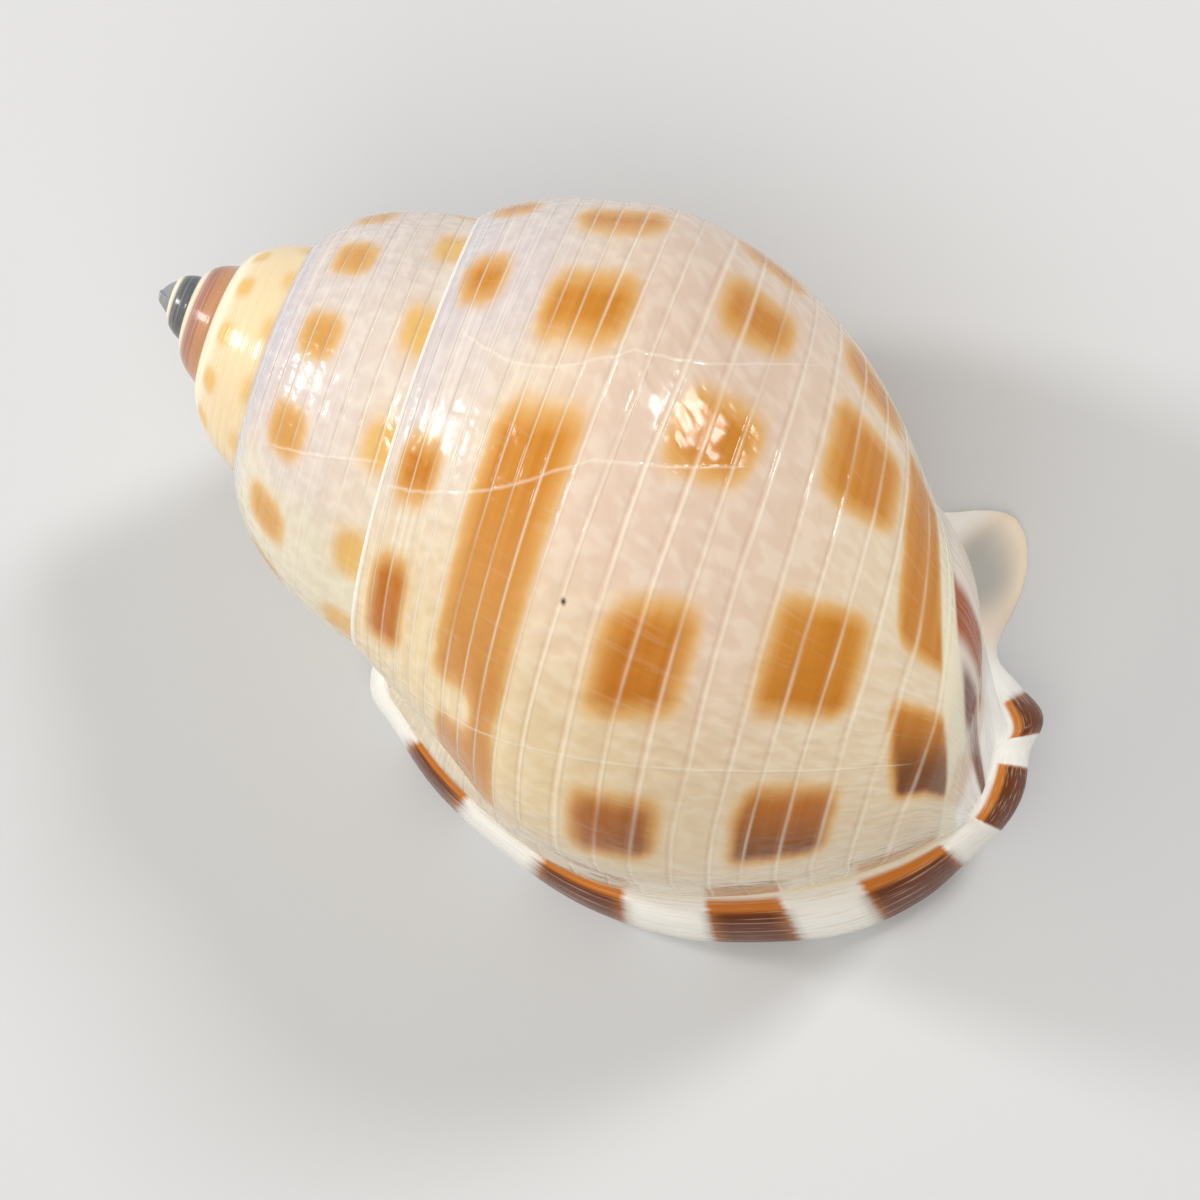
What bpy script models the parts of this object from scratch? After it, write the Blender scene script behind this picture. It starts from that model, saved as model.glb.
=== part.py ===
import math

import bpy
import numpy as np

for old in list(bpy.data.objects):
    bpy.data.objects.remove(old, do_unlink=True)

# Driving dimensions, in millimetres. The coiling axis is S, from the tip at S = 0
# to the canal end; R is the distance from that axis. AROUND counts faces per turn.
SUTURE_S = 22.9
SUTURE_R = 16.4
GROWTH_S = 0.80
GROWTH_S_RISE = 0.045
GROWTH_R = 0.63
LIP_TURN = 0.15
FLARE = 0.93
SPIRE_TURNS = 5.2
AROUND = 48
WAIST = 0.38
REST_SLOPE = 0.16
REST_DEPTH = 15.34
REST_AT = 25.0

SPIRE_ROWS = (0.0, 0.012, 0.035, 0.075, 0.14, 0.24)
BODY_ROWS = SPIRE_ROWS + (
    0.38, 0.42, 0.47, 0.53, 0.60, 0.66, 0.72, 0.78, 0.83, 0.87, 0.90,
)
BASE_ROWS = (0.12, 0.25, 0.38, 0.50, 0.62, 0.74, 0.87, 1.0)

# Turns back from the azimuth of the lip side, then (S, R) at the waist, at four
# spiral lines below it, and at the canal end of the base.
BODY_TURNS = (-0.85, -0.75, -0.50, -0.25, 0.00, 0.15)
BODY_LINES = (
    ((22.3, 15.0), (27.6, 14.9), (33.0, 13.5), (37.8, 11.3), (42.0, 8.6), (45.5, 6.0)),
    ((23.6, 15.6), (29.3, 14.5), (34.9, 13.2), (39.7, 11.4), (43.9, 8.9), (47.3, 6.2)),
    ((26.8, 17.7), (32.7, 17.2), (38.1, 15.4), (42.6, 12.5), (46.6, 8.9), (50.6, 5.8)),
    ((30.3, 19.3), (36.8, 18.9), (43.2, 16.8), (48.4, 13.4), (52.8, 8.8), (56.3, 4.2)),
    ((33.8, 19.3), (40.8, 19.1), (46.6, 16.8), (51.0, 13.8), (54.8, 10.2), (57.3, 7.0)),
    ((35.0, 20.4), (41.6, 20.2), (47.2, 17.9), (51.6, 14.8), (55.2, 11.2), (57.6, 8.0)),
)
LINE_AT = (0.38, 0.52, 0.66, 0.79, 0.90, 1.0)
START_AT = (0.38, 0.47, 0.60, 0.72, 0.83, 0.90)

# The rim round the opening: where along it, its groove on the outer side, its outermost
# edge and the inner edge of the opening, each as (S, Y, Z), then the height of the
# rounded back above the groove and the depth of the rounded face below the edge.
RIM = (
    (0.00, (22.0, -9.2, -12.2), (20.3, -10.0, -13.9), (24.3, -9.9, -13.4), 0.3, 0.9),
    (0.05, (21.2, -12.5, -12.0), (19.6, -13.3, -14.4), (24.1, -11.6, -13.9), 0.7, 1.3),
    (0.12, (21.6, -15.2, -11.5), (20.3, -16.5, -14.3), (24.9, -13.6, -14.1), 1.1, 1.6),
    (0.20, (23.9, -16.8, -11.0), (22.9, -18.1, -13.9), (26.7, -15.1, -14.1), 1.4, 1.8),
    (0.30, (28.0, -18.7, -10.4), (27.2, -20.4, -13.3), (30.0, -16.5, -13.7), 1.5, 1.9),
    (0.40, (33.3, -20.0, -9.7), (32.9, -21.9, -12.5), (34.5, -17.5, -13.1), 1.5, 1.9),
    (0.50, (38.3, -20.2, -8.9), (38.9, -22.5, -11.7), (39.0, -17.6, -12.5), 1.5, 1.9),
    (0.60, (43.0, -18.9, -8.2), (44.7, -21.6, -10.9), (43.5, -16.9, -11.9), 1.5, 1.9),
    (0.70, (47.2, -16.9, -7.5), (49.7, -19.4, -10.2), (47.7, -15.6, -11.3), 1.5, 1.8),
    (0.80, (51.1, -14.3, -6.8), (54.3, -16.4, -9.5), (51.4, -13.6, -10.8), 1.5, 1.7),
    (0.90, (54.4, -11.2, -6.0), (57.3, -12.6, -8.7), (54.9, -11.0, -10.2), 1.4, 1.5),
    (1.00, (56.5, -8.5, -4.6), (58.7, -9.1, -7.0), (56.9, -8.0, -8.6), 1.2, 1.1),
    (1.25, (57.4, -6.4, -3.4), (59.6, -6.3, -4.9), (57.8, -6.3, -6.5), 1.0, 0.8),
    (1.50, (57.4, -4.4, -3.0), (59.7, -4.0, -4.3), (57.9, -4.7, -5.5), 0.8, 0.7),
    (1.75, (57.0, -2.5, -3.2), (59.0, -1.7, -4.6), (57.6, -3.2, -5.8), 0.7, 0.7),
    (2.00, (56.8, -0.6, -4.0), (58.3, 1.1, -5.4), (57.6, -2.1, -7.4), 0.9, 0.8),
    (2.10, (55.4, 0.6, -4.8), (56.5, 1.9, -7.2), (56.6, -1.8, -9.0), 0.6, 0.8),
    (2.20, (53.6, 2.2, -5.6), (54.6, 3.3, -9.2), (55.4, -1.7, -9.8), 0.4, 0.9),
    (2.25, (52.7, 3.0, -6.0), (54.5, 5.2, -9.7), (54.5, -1.6, -10.1), 0.3, 0.9),
    (2.30, (51.8, 3.9, -6.4), (54.4, 7.3, -9.9), (53.6, -1.6, -10.3), 0.2, 0.9),
    (2.35, (50.9, 4.8, -6.8), (53.6, 9.6, -10.2), (52.5, -1.7, -10.5), 0.1, 0.9),
    (2.40, (49.8, 5.6, -7.3), (52.1, 11.0, -10.4), (51.2, -1.8, -10.7), 0.1, 0.9),
    (2.45, (48.3, 6.2, -8.1), (50.3, 10.7, -10.7), (49.6, -2.1, -10.9), 0.1, 0.9),
    (2.50, (46.6, 6.7, -8.9), (48.2, 9.5, -11.0), (47.8, -2.5, -11.1), 0.1, 0.9),
    (2.60, (42.6, 6.3, -10.4), (43.4, 7.7, -11.6), (43.6, -3.6, -11.6), 0.1, 1.0),
    (2.70, (38.0, 4.4, -12.1), (38.3, 5.4, -12.6), (39.0, -5.0, -12.3), 0.1, 0.8),
    (2.80, (32.6, 1.1, -13.75), (32.6, 1.6, -14.1), (33.8, -6.6, -13.0), 0.0, 0.5),
    (2.85, (29.8, -1.9, -14.25), (29.6, -1.5, -14.65), (31.1, -7.3, -13.3), 0.0, 0.35),
    (2.90, (27.0, -4.6, -14.2), (26.6, -4.6, -14.6), (28.4, -8.0, -13.5), 0.0, 0.4),
    (3.00, (22.0, -9.2, -12.2), (20.3, -10.0, -13.9), (24.3, -9.9, -13.4), 0.3, 0.9),
)

# The pillar and the wall of the whorl before, seen from inside the hollow: turns,
# then (S, R) from the canal end of the pillar to the seam.
HOLLOW_TURNS = (0.02, -0.25, -0.50, -0.62)
HOLLOW_LINES = (
    ((55.0, 3.6), (49.0, 3.4), (43.0, 4.0), (36.5, 6.8), (30.5, 11.0), (24.3, 14.2)),
    ((51.5, 2.7), (45.0, 2.8), (38.5, 3.6), (32.0, 6.6), (26.5, 10.4), (20.9, 13.8)),
    ((45.5, 2.5), (39.5, 2.6), (33.5, 3.4), (28.0, 5.8), (22.8, 9.0), (17.5, 12.2)),
    ((42.5, 2.4), (37.0, 2.6), (31.0, 3.4), (26.0, 5.4), (21.0, 8.4), (16.2, 11.4)),
)
HOLLOW_DEPTHS = (0.07, 0.14, 0.21, 0.29, 0.37, 0.46, 0.55, 0.63)
WALL = 1.3


def smooth(x):
    """Goes evenly from 0 to 1, level at both ends."""
    x = np.clip(x, 0.0, 1.0)
    return x * x * (3 - 2 * x)


def curve(at, points, x):
    """Smooth curve through points, given where along it each stands."""
    at = np.asarray(at, float)
    points = np.asarray(points, float)
    chord = np.diff(points, axis=0) / np.diff(at)[:, None]
    gap = np.diff(at)[:, None]
    slope = np.empty_like(points)
    slope[1:-1] = (chord[:-1] * gap[1:] + chord[1:] * gap[:-1]) / (gap[1:] + gap[:-1])
    slope[0] = 1.5 * chord[0] - 0.5 * slope[1]
    slope[-1] = 1.5 * chord[-1] - 0.5 * slope[-2]
    x = np.atleast_1d(np.asarray(x, float))
    k = np.clip(np.searchsorted(at, x, side="right") - 1, 0, len(at) - 2)
    h = (at[k + 1] - at[k])[:, None]
    f = (x - at[k])[:, None] / h
    return (
        (1 + 2 * f) * (1 - f) ** 2 * points[k]
        + f * (1 - f) ** 2 * h * slope[k]
        + f * f * (3 - 2 * f) * points[k + 1]
        - f * f * (1 - f) * h * slope[k + 1]
    )


def suture(turn):
    """(S, R) of the seam where a whorl meets the one before it."""
    bump = 0.085 * math.exp(3 * (math.cos(2 * math.pi * turn - 0.09) - 1))
    near_lip = max(0.0, turn + 0.1) ** 2
    late = max(0.0, turn + 0.5) ** 2
    tip = 0.8 * float(smooth((-2.6 - turn) / 2.6))
    along = GROWTH_S * turn + GROWTH_S_RISE * turn * turn - 1.8 * near_lip
    out = GROWTH_R * turn - 0.32 * late
    return SUTURE_S * math.exp(along - bump) - tip, SUTURE_R * math.exp(out - bump)


def waist(turn):
    """(S, R) of the spiral line that the next whorl's seam follows."""
    if turn <= BODY_TURNS[0]:
        return suture(turn + 1)
    return tuple(curve(BODY_TURNS, [line[0] for line in BODY_LINES], turn)[0])


def shoulder(turn, x, bulge):
    """(S, R) from the seam (x = 0) to the waist (x = 1), swelling outwards."""
    s0, r0 = suture(turn)
    s1, r1 = waist(turn)
    swell = bulge * 3.5 * x ** 0.74 * (1 - x) ** 1.05
    return (
        s0 + (s1 - s0) * x - (r1 - r0) * swell,
        r0 + (r1 - r0) * x + (s1 - s0) * swell,
    )


def bulge_of(turn):
    """How much a whorl swells between the seam and the waist."""
    grown = float(smooth((turn + SPIRE_TURNS) / 0.8))
    last = 0.045 * float(smooth((turn + 1.1) / 0.5)) + 0.085 * float(smooth((turn + 0.3) / 0.3))
    return 0.125 * grown - last


def section(turn, v):
    """(S, R) on the outside at a turn and at a place from the seam (0) to the base (1)."""
    low = [
        curve(BODY_TURNS, [line[k] for line in BODY_LINES], min(max(turn, -0.85), 0.15))[0]
        for k in range(6)
    ]
    if turn < BODY_TURNS[0]:
        here = np.array(waist(turn))
        low = [here + (point - low[0]) * here[1] / low[0][1] for point in low]
    bulge = bulge_of(turn)
    arc = np.array(shoulder(turn, min(v / WAIST, 1.0), bulge))
    if turn < -1.25:
        return arc
    at = (0.0, 0.02, 0.075, 0.14, 0.24)
    knots = [np.array(shoulder(turn, a / WAIST, bulge)) for a in at] + low
    whole = curve(at + LINE_AT, knots, v)[0]
    if v <= 0.075:
        whole = arc + (whole - arc) * v / 0.075
    if v <= WAIST:
        share = float(smooth((turn + 1.25) / 0.35))
        return arc + (whole - arc) * share
    return whole


def on_axis(turn, s, r):
    """The point at a turn round the coiling axis."""
    angle = -2 * math.pi * turn
    return np.array([s, -r * math.cos(angle), r * math.sin(angle)])


def rim_curve(kind, along):
    """Point of the rim: kind 1 is its groove, 2 its outermost edge, 3 the inner edge."""
    return curve([row[0] for row in RIM], [row[kind] for row in RIM], along)[0]


def turn_at_lip(v):
    """Turn at which a spiral line reaches the lip."""
    at = (0, 0.05, 0.12, 0.2, 0.4, 0.6, 0.8, 0.9, 1.0)
    turns = (0.15, 0.125, 0.105, 0.092, 0.075, 0.066, 0.07, 0.078, 0.083)
    return float(curve(at, [[turn] for turn in turns], v)[0, 0])


def turn_at_start(v):
    """Turn at which a spiral line comes out from under the shield."""
    if v <= WAIST:
        return -0.85
    turns = (-0.85, -0.783, -0.733, -0.694, -0.667, -0.648)
    return float(curve(START_AT, [[turn] for turn in turns], v)[0, 0])


def loop_of_start(v):
    """Place along the rim where a spiral line of the base begins, from 3 at the waist."""
    return float(np.interp(v, START_AT, (3.0, 2.9, 2.8, 2.7, 2.6, 2.53)))


def loop_of_lip(v):
    """Place along the rim where a spiral line ends, from 0 at the seam."""
    at = (0.0, 0.012, 0.035, 0.075, 0.14, 0.24, 0.38, 0.53, 0.66, 0.78, 0.90)
    places = (0.0, 0.05, 0.12, 0.18, 0.25, 0.335, 0.43, 0.57, 0.70, 0.80, 0.90)
    return float(np.interp(v, at, places))


def turn_of(j, v):
    """Turn of a column of the last whorl; j runs from 0 at its start to 1 at the lip."""
    late = (turn_at_start(v) + 0.85) * float(1 - smooth(j / 0.8))
    early = (LIP_TURN - turn_at_lip(v)) * float(smooth((j - 0.5) / 0.5))
    return -0.85 + j + late - early


def seam_gap(j, v, rim_along):
    """How far the rim's groove stands from the plain whorl at this corner of the sheet."""
    return rim_curve(1, rim_along) - on_axis(turn_of(j, v), *section(turn_of(j, v), v))


def sheet(j, v):
    """Outside point: j in 0..1 over the last turn, v from the seam to the ridge at the base."""
    turn = turn_of(j, v)
    point = on_axis(turn, *section(turn, v))
    point = point + smooth((j - FLARE) / (1 - FLARE)) * seam_gap(1.0, v, loop_of_lip(v))
    if v > WAIST:
        point = point + smooth(1 - j / 0.25) * seam_gap(0.0, v, loop_of_start(v))
    return point


def base_patch(j, w):
    """Outside point between the ridge at the base (w = 0) and the rim of the canal (w = 1)."""
    ridge, rim = sheet(j, 0.90), rim_curve(1, 2 - j)
    left = rim_curve(1, 2.53 - 0.53 * w) - (1 - w) * rim_curve(1, 2.53) - w * rim_curve(1, 2.0)
    right = rim_curve(1, 0.9 + 0.1 * w) - (1 - w) * rim_curve(1, 0.9) - w * rim_curve(1, 1.0)
    sag = 1.3 * math.sin(math.pi * w) * math.sin(math.pi * j) ** 2 * np.array([-0.3, 0.0, -1.0])
    return (1 - w) * ridge + w * rim + (1 - j) * left + j * right + sag


def table(s):
    """Depth below the axis at which the shell rests."""
    return -REST_DEPTH + REST_SLOPE * (s - REST_AT)


def rim_points(along):
    """The six points across the rim, from its groove round to the inner edge."""
    flat = [one[1] + one[2] + one[3] + one[4:] for one in RIM]
    row = curve([one[0] for one in RIM], flat, along)[0]
    groove, edge, inner, lift, belly = row[:3], row[3:6], row[6:9], row[9], row[10]
    up = np.array([0.0, 0.0, 1.0])
    lobe = float(smooth((along - 2.1) / 0.15) * smooth((2.68 - along) / 0.15))
    back = groove + (0.55 + 0.3 * lobe) * (edge - groove) + lift * up
    front = edge + (0.20 - 0.13 * lobe) * (inner - edge) - 0.85 * belly * up
    face = edge + 0.68 * (inner - edge) - belly * up
    return [groove, back, edge, front, face, inner]


def hollow(turn, along):
    """Point on the inside of the whorl at a turn, at the same place along the rim."""
    lines = curve([-t for t in HOLLOW_TURNS], [np.ravel(line) for line in HOLLOW_LINES], -turn)[0]
    pillar = lines.reshape(-1, 2)
    if along >= 2:
        s, r = curve(np.linspace(2, 3, 6), pillar, along)[0]
        return on_axis(turn, s, r)
    v = 0.05 + 0.86 * min(along, 1.0)
    step = 0.01
    here = np.array(section(turn, v))
    run = np.array(section(turn, v + step)) - np.array(section(turn, v - step))
    inward = np.array([run[1], -run[0]]) / np.hypot(*run)
    wall = here + WALL * inward
    if along <= 1:
        return on_axis(turn, *wall)
    share = along - 1
    s, r = wall + (pillar[0] - wall) * share + np.array([1.2, 0.0]) * math.sin(math.pi * share)
    return on_axis(turn, s, r)


def hollow_ring(k, loop):
    """One ring of points on the inside, k rings from the rim."""
    ring = []
    turn = 0.10 - HOLLOW_DEPTHS[k]
    share = min(1.0, (0.5, 0.85, 1.0)[min(k, 2)])
    for along in loop:
        inner = rim_points(along)[5]
        ring.append(inner + (hollow(turn, along) - inner) * share)
    return ring


class Skin:
    """Points and faces of one closed skin, as they are added."""

    def __init__(self):
        self.points = []
        self.faces = []

    def add(self, point):
        self.points.append(np.asarray(point, float))
        return len(self.points) - 1

    def band(self, one, two):
        """Faces between two rings of the same count."""
        for i in range(len(one)):
            n = (i + 1) % len(one)
            self.faces.append((one[i], two[i], two[n], one[n]))

    def fan(self, ring, middle):
        for one, two in zip(ring, ring[1:]):
            self.faces.append((one, two, middle))


def spire_columns():
    """How many columns stand before the last turn."""
    return int(round((SPIRE_TURNS - 0.85) * AROUND))


def grow_spire(skin, grid):
    """The whorls of the spire, each row ending on the seam of the next whorl."""
    count = spire_columns()
    for c in range(count):
        turn = -0.85 - (count - c) / AROUND
        for k, v in enumerate(SPIRE_ROWS):
            grid[c, k] = skin.add(on_axis(turn, *section(turn, v)))


def grow_last_turn(skin, grid):
    """The last whorl from its start under the shield round to the lip, with its base."""
    count = spire_columns()
    for c in range(count, count + AROUND + 1):
        j = (c - count) / AROUND
        for k, v in enumerate(BODY_ROWS):
            if c < count + AROUND or k > 0:
                grid[c, k] = skin.add(sheet(j, v))
        for k, w in enumerate(BASE_ROWS):
            grid[c, len(BODY_ROWS) + k] = skin.add(base_patch(j, w))
    grid[count + AROUND, 0] = grid[count, len(SPIRE_ROWS)]


def last_row():
    return len(BODY_ROWS) + len(BASE_ROWS) - 1


def close_outside(skin, grid):
    """Faces over the outside, with the tip."""
    count = spire_columns()
    seam = len(SPIRE_ROWS)
    for c in range(count):
        grid[c, seam] = grid[c + AROUND, 0]
    for c in range(count + AROUND):
        for k in range(seam if c < count else last_row()):
            skin.faces.append((grid[c, k], grid[c + 1, k], grid[c + 1, k + 1], grid[c, k + 1]))
    ring = [grid[0, k] for k in range(seam + 1)]
    ring += [grid[c, 0] for c in range(AROUND - 1, -1, -1)]
    skin.fan(ring, skin.add((0.0, 0.0, 0.0)))


def rim_loop(grid):
    """The groove of the rim as (point, place along the rim), once round the opening."""
    count = spire_columns()
    last = count + AROUND
    base = last_row()
    lip = [loop_of_lip(v) for v in BODY_ROWS] + [0.9 + 0.1 * w for w in BASE_ROWS]
    start = [loop_of_start(v) for v in BODY_ROWS] + [2.53 - 0.53 * w for w in BASE_ROWS]
    loop = [(grid[last, k], lip[k]) for k in range(base)]
    loop += [(grid[c, base], 2 - (c - count) / AROUND) for c in range(last, count, -1)]
    loop += [(grid[count, k], start[k]) for k in range(base, len(SPIRE_ROWS), -1)]
    return loop


def close_inside(skin, loop):
    """The rounded rim and the hollow behind it, as far in as it can be seen."""
    along = [place for _, place in loop]
    across = [rim_points(place) for place in along]
    rings = [[point for point, _ in loop]]
    for k in range(1, 6):
        rings.append([skin.add(points[k]) for points in across])
    for k in range(len(HOLLOW_DEPTHS)):
        rings.append([skin.add(point) for point in hollow_ring(k, along)])
    for one, two in zip(rings, rings[1:]):
        skin.band(one, two)
    deepest = rings[-1][::-1]
    middle = sum(skin.points[point] for point in deepest) / len(deepest)
    skin.fan(deepest + deepest[:1], skin.add(middle))


def shell_mesh():
    """Points in millimetres and faces of the whole shell, as one closed skin."""
    skin = Skin()
    grid = {}
    grow_spire(skin, grid)
    grow_last_turn(skin, grid)
    close_outside(skin, grid)
    close_inside(skin, rim_loop(grid))
    return np.array(skin.points), skin.faces


def at_rest(points):
    """Turned so that the resting plane is level, at height 0, and nothing is below it."""
    tilt = math.atan(REST_SLOPE)
    x = points[:, 0] * math.cos(tilt) + points[:, 2] * math.sin(tilt)
    z = -points[:, 0] * math.sin(tilt) + points[:, 2] * math.cos(tilt)
    floor = (table(0.0)) * math.cos(tilt)
    turned = np.stack([x, points[:, 1], np.maximum(z - floor, 0.0)], axis=1)
    middle = (turned.max(axis=0) + turned.min(axis=0)) / 2
    return turned - middle * (1.0, 1.0, 0.0)


def make_shell():
    """The one solid, in metres."""
    points, faces = shell_mesh()
    mesh = bpy.data.meshes.new("shell")
    mesh.from_pydata((at_rest(points) / 1000).tolist(), [], faces)
    mesh.validate()
    mesh.update()
    for polygon in mesh.polygons:
        polygon.use_smooth = True
    porcelain = bpy.data.materials.new("shell")
    porcelain.use_nodes = True
    surface = porcelain.node_tree.nodes["Principled BSDF"]
    surface.inputs["Base Color"].default_value = (0.79, 0.62, 0.40, 1.0)
    surface.inputs["Roughness"].default_value = 0.22
    mesh.materials.append(porcelain)
    shell = bpy.data.objects.new("shell", mesh)
    bpy.context.scene.collection.objects.link(shell)


make_shell()
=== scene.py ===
"""The looks of a right-handed bonnet shell lying on its opening, in metres."""

import logging
import math
from collections.abc import Callable
from dataclasses import dataclass, field
from enum import Enum
from functools import reduce

import bpy
import numpy as np
from mathutils import Matrix, Vector


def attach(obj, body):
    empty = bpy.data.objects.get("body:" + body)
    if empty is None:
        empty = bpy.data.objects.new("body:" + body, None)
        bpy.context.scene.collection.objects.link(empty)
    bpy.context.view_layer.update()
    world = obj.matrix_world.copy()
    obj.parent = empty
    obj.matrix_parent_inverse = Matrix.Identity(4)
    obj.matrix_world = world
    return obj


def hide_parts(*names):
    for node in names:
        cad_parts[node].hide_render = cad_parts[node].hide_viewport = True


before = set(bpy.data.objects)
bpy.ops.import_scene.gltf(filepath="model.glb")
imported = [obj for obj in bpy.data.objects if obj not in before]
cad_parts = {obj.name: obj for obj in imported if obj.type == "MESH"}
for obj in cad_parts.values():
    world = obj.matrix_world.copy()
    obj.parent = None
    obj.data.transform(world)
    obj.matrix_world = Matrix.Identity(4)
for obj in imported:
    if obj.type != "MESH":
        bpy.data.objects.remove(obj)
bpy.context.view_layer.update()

MM = 0.001
WAIST = 0.38
RIDGE = 0.90
START_TURN = -0.85
LIP_TURN = 0.15
RIDGE_ON_RIM = 2.53
GROWTH_UV = "growth"
RIM_UV = "rim"
LOG = logging.getLogger("shell")

Pair = tuple[float, float]
Triple = tuple[float, float, float]
Rgb = tuple[int, int, int]


def smooth(x: np.ndarray | float) -> np.ndarray:
    """Go evenly from 0 to 1, level at both ends."""
    x = np.clip(x, 0.0, 1.0)
    return x * x * (3 - 2 * x)


def spline(at: tuple | np.ndarray, values: np.ndarray | list, x: np.ndarray) -> np.ndarray:
    """Smooth curve through rows of values.

    Args:
        at: Where along the curve each row stands.
        values: One row per place, as (places, sizes), or a set for each x.
        x: Where to read the curve.

    Returns:
        One row of sizes for each x.
    """
    at = np.asarray(at, float)
    rows = np.asarray(values, float)
    rows = rows[None] if rows.ndim == 2 else rows
    gap = np.diff(at)[:, None]
    chord = np.diff(rows, axis=1) / gap
    slope = np.empty_like(rows)
    slope[:, 1:-1] = (chord[:, :-1] * gap[1:] + chord[:, 1:] * gap[:-1]) / (gap[1:] + gap[:-1])
    slope[:, 0] = 1.5 * chord[:, 0] - 0.5 * slope[:, 1]
    slope[:, -1] = 1.5 * chord[:, -1] - 0.5 * slope[:, -2]
    k = np.clip(np.searchsorted(at, x, side="right") - 1, 0, len(at) - 2)
    own = np.arange(len(x)) if len(rows) > 1 else np.zeros(len(x), int)
    h = gap[k]
    f = (x - at[k])[:, None] / h
    return (
        (1 + 2 * f) * (1 - f) ** 2 * rows[own, k]
        + f * (1 - f) ** 2 * h * slope[own, k]
        + f * f * (3 - 2 * f) * rows[own, k + 1]
        - f * f * (1 - f) * h * slope[own, k + 1]
    )


def finer(rows: tuple[float, ...], parts: int) -> np.ndarray:
    """Split each step between rows into equal parts."""
    steps = [np.linspace(a, b, parts, endpoint=False) for a, b in zip(rows, rows[1:])]
    return np.append(np.concatenate(steps), rows[-1])


def on_axis(turn: np.ndarray, profile: np.ndarray) -> np.ndarray:
    """Points at turns round the coiling axis.

    Args:
        turn: Turns, one for each row.
        profile: Rows of (along the axis, out from it).

    Returns:
        Points as (rows, 3).
    """
    angle = -2 * math.pi * turn
    s, r = profile[:, 0], profile[:, 1]
    return np.stack([s, -r * np.cos(angle), r * np.sin(angle)], axis=1)


def link(name: str, data: bpy.types.ID) -> bpy.types.Object:
    """Put a mesh, lamp or camera into the scene as an object.

    Args:
        name: The object's name.
        data: What it shows.

    Returns:
        The object.
    """
    made = bpy.data.objects.new(name, data)
    bpy.context.scene.collection.objects.link(made)
    return made


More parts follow.
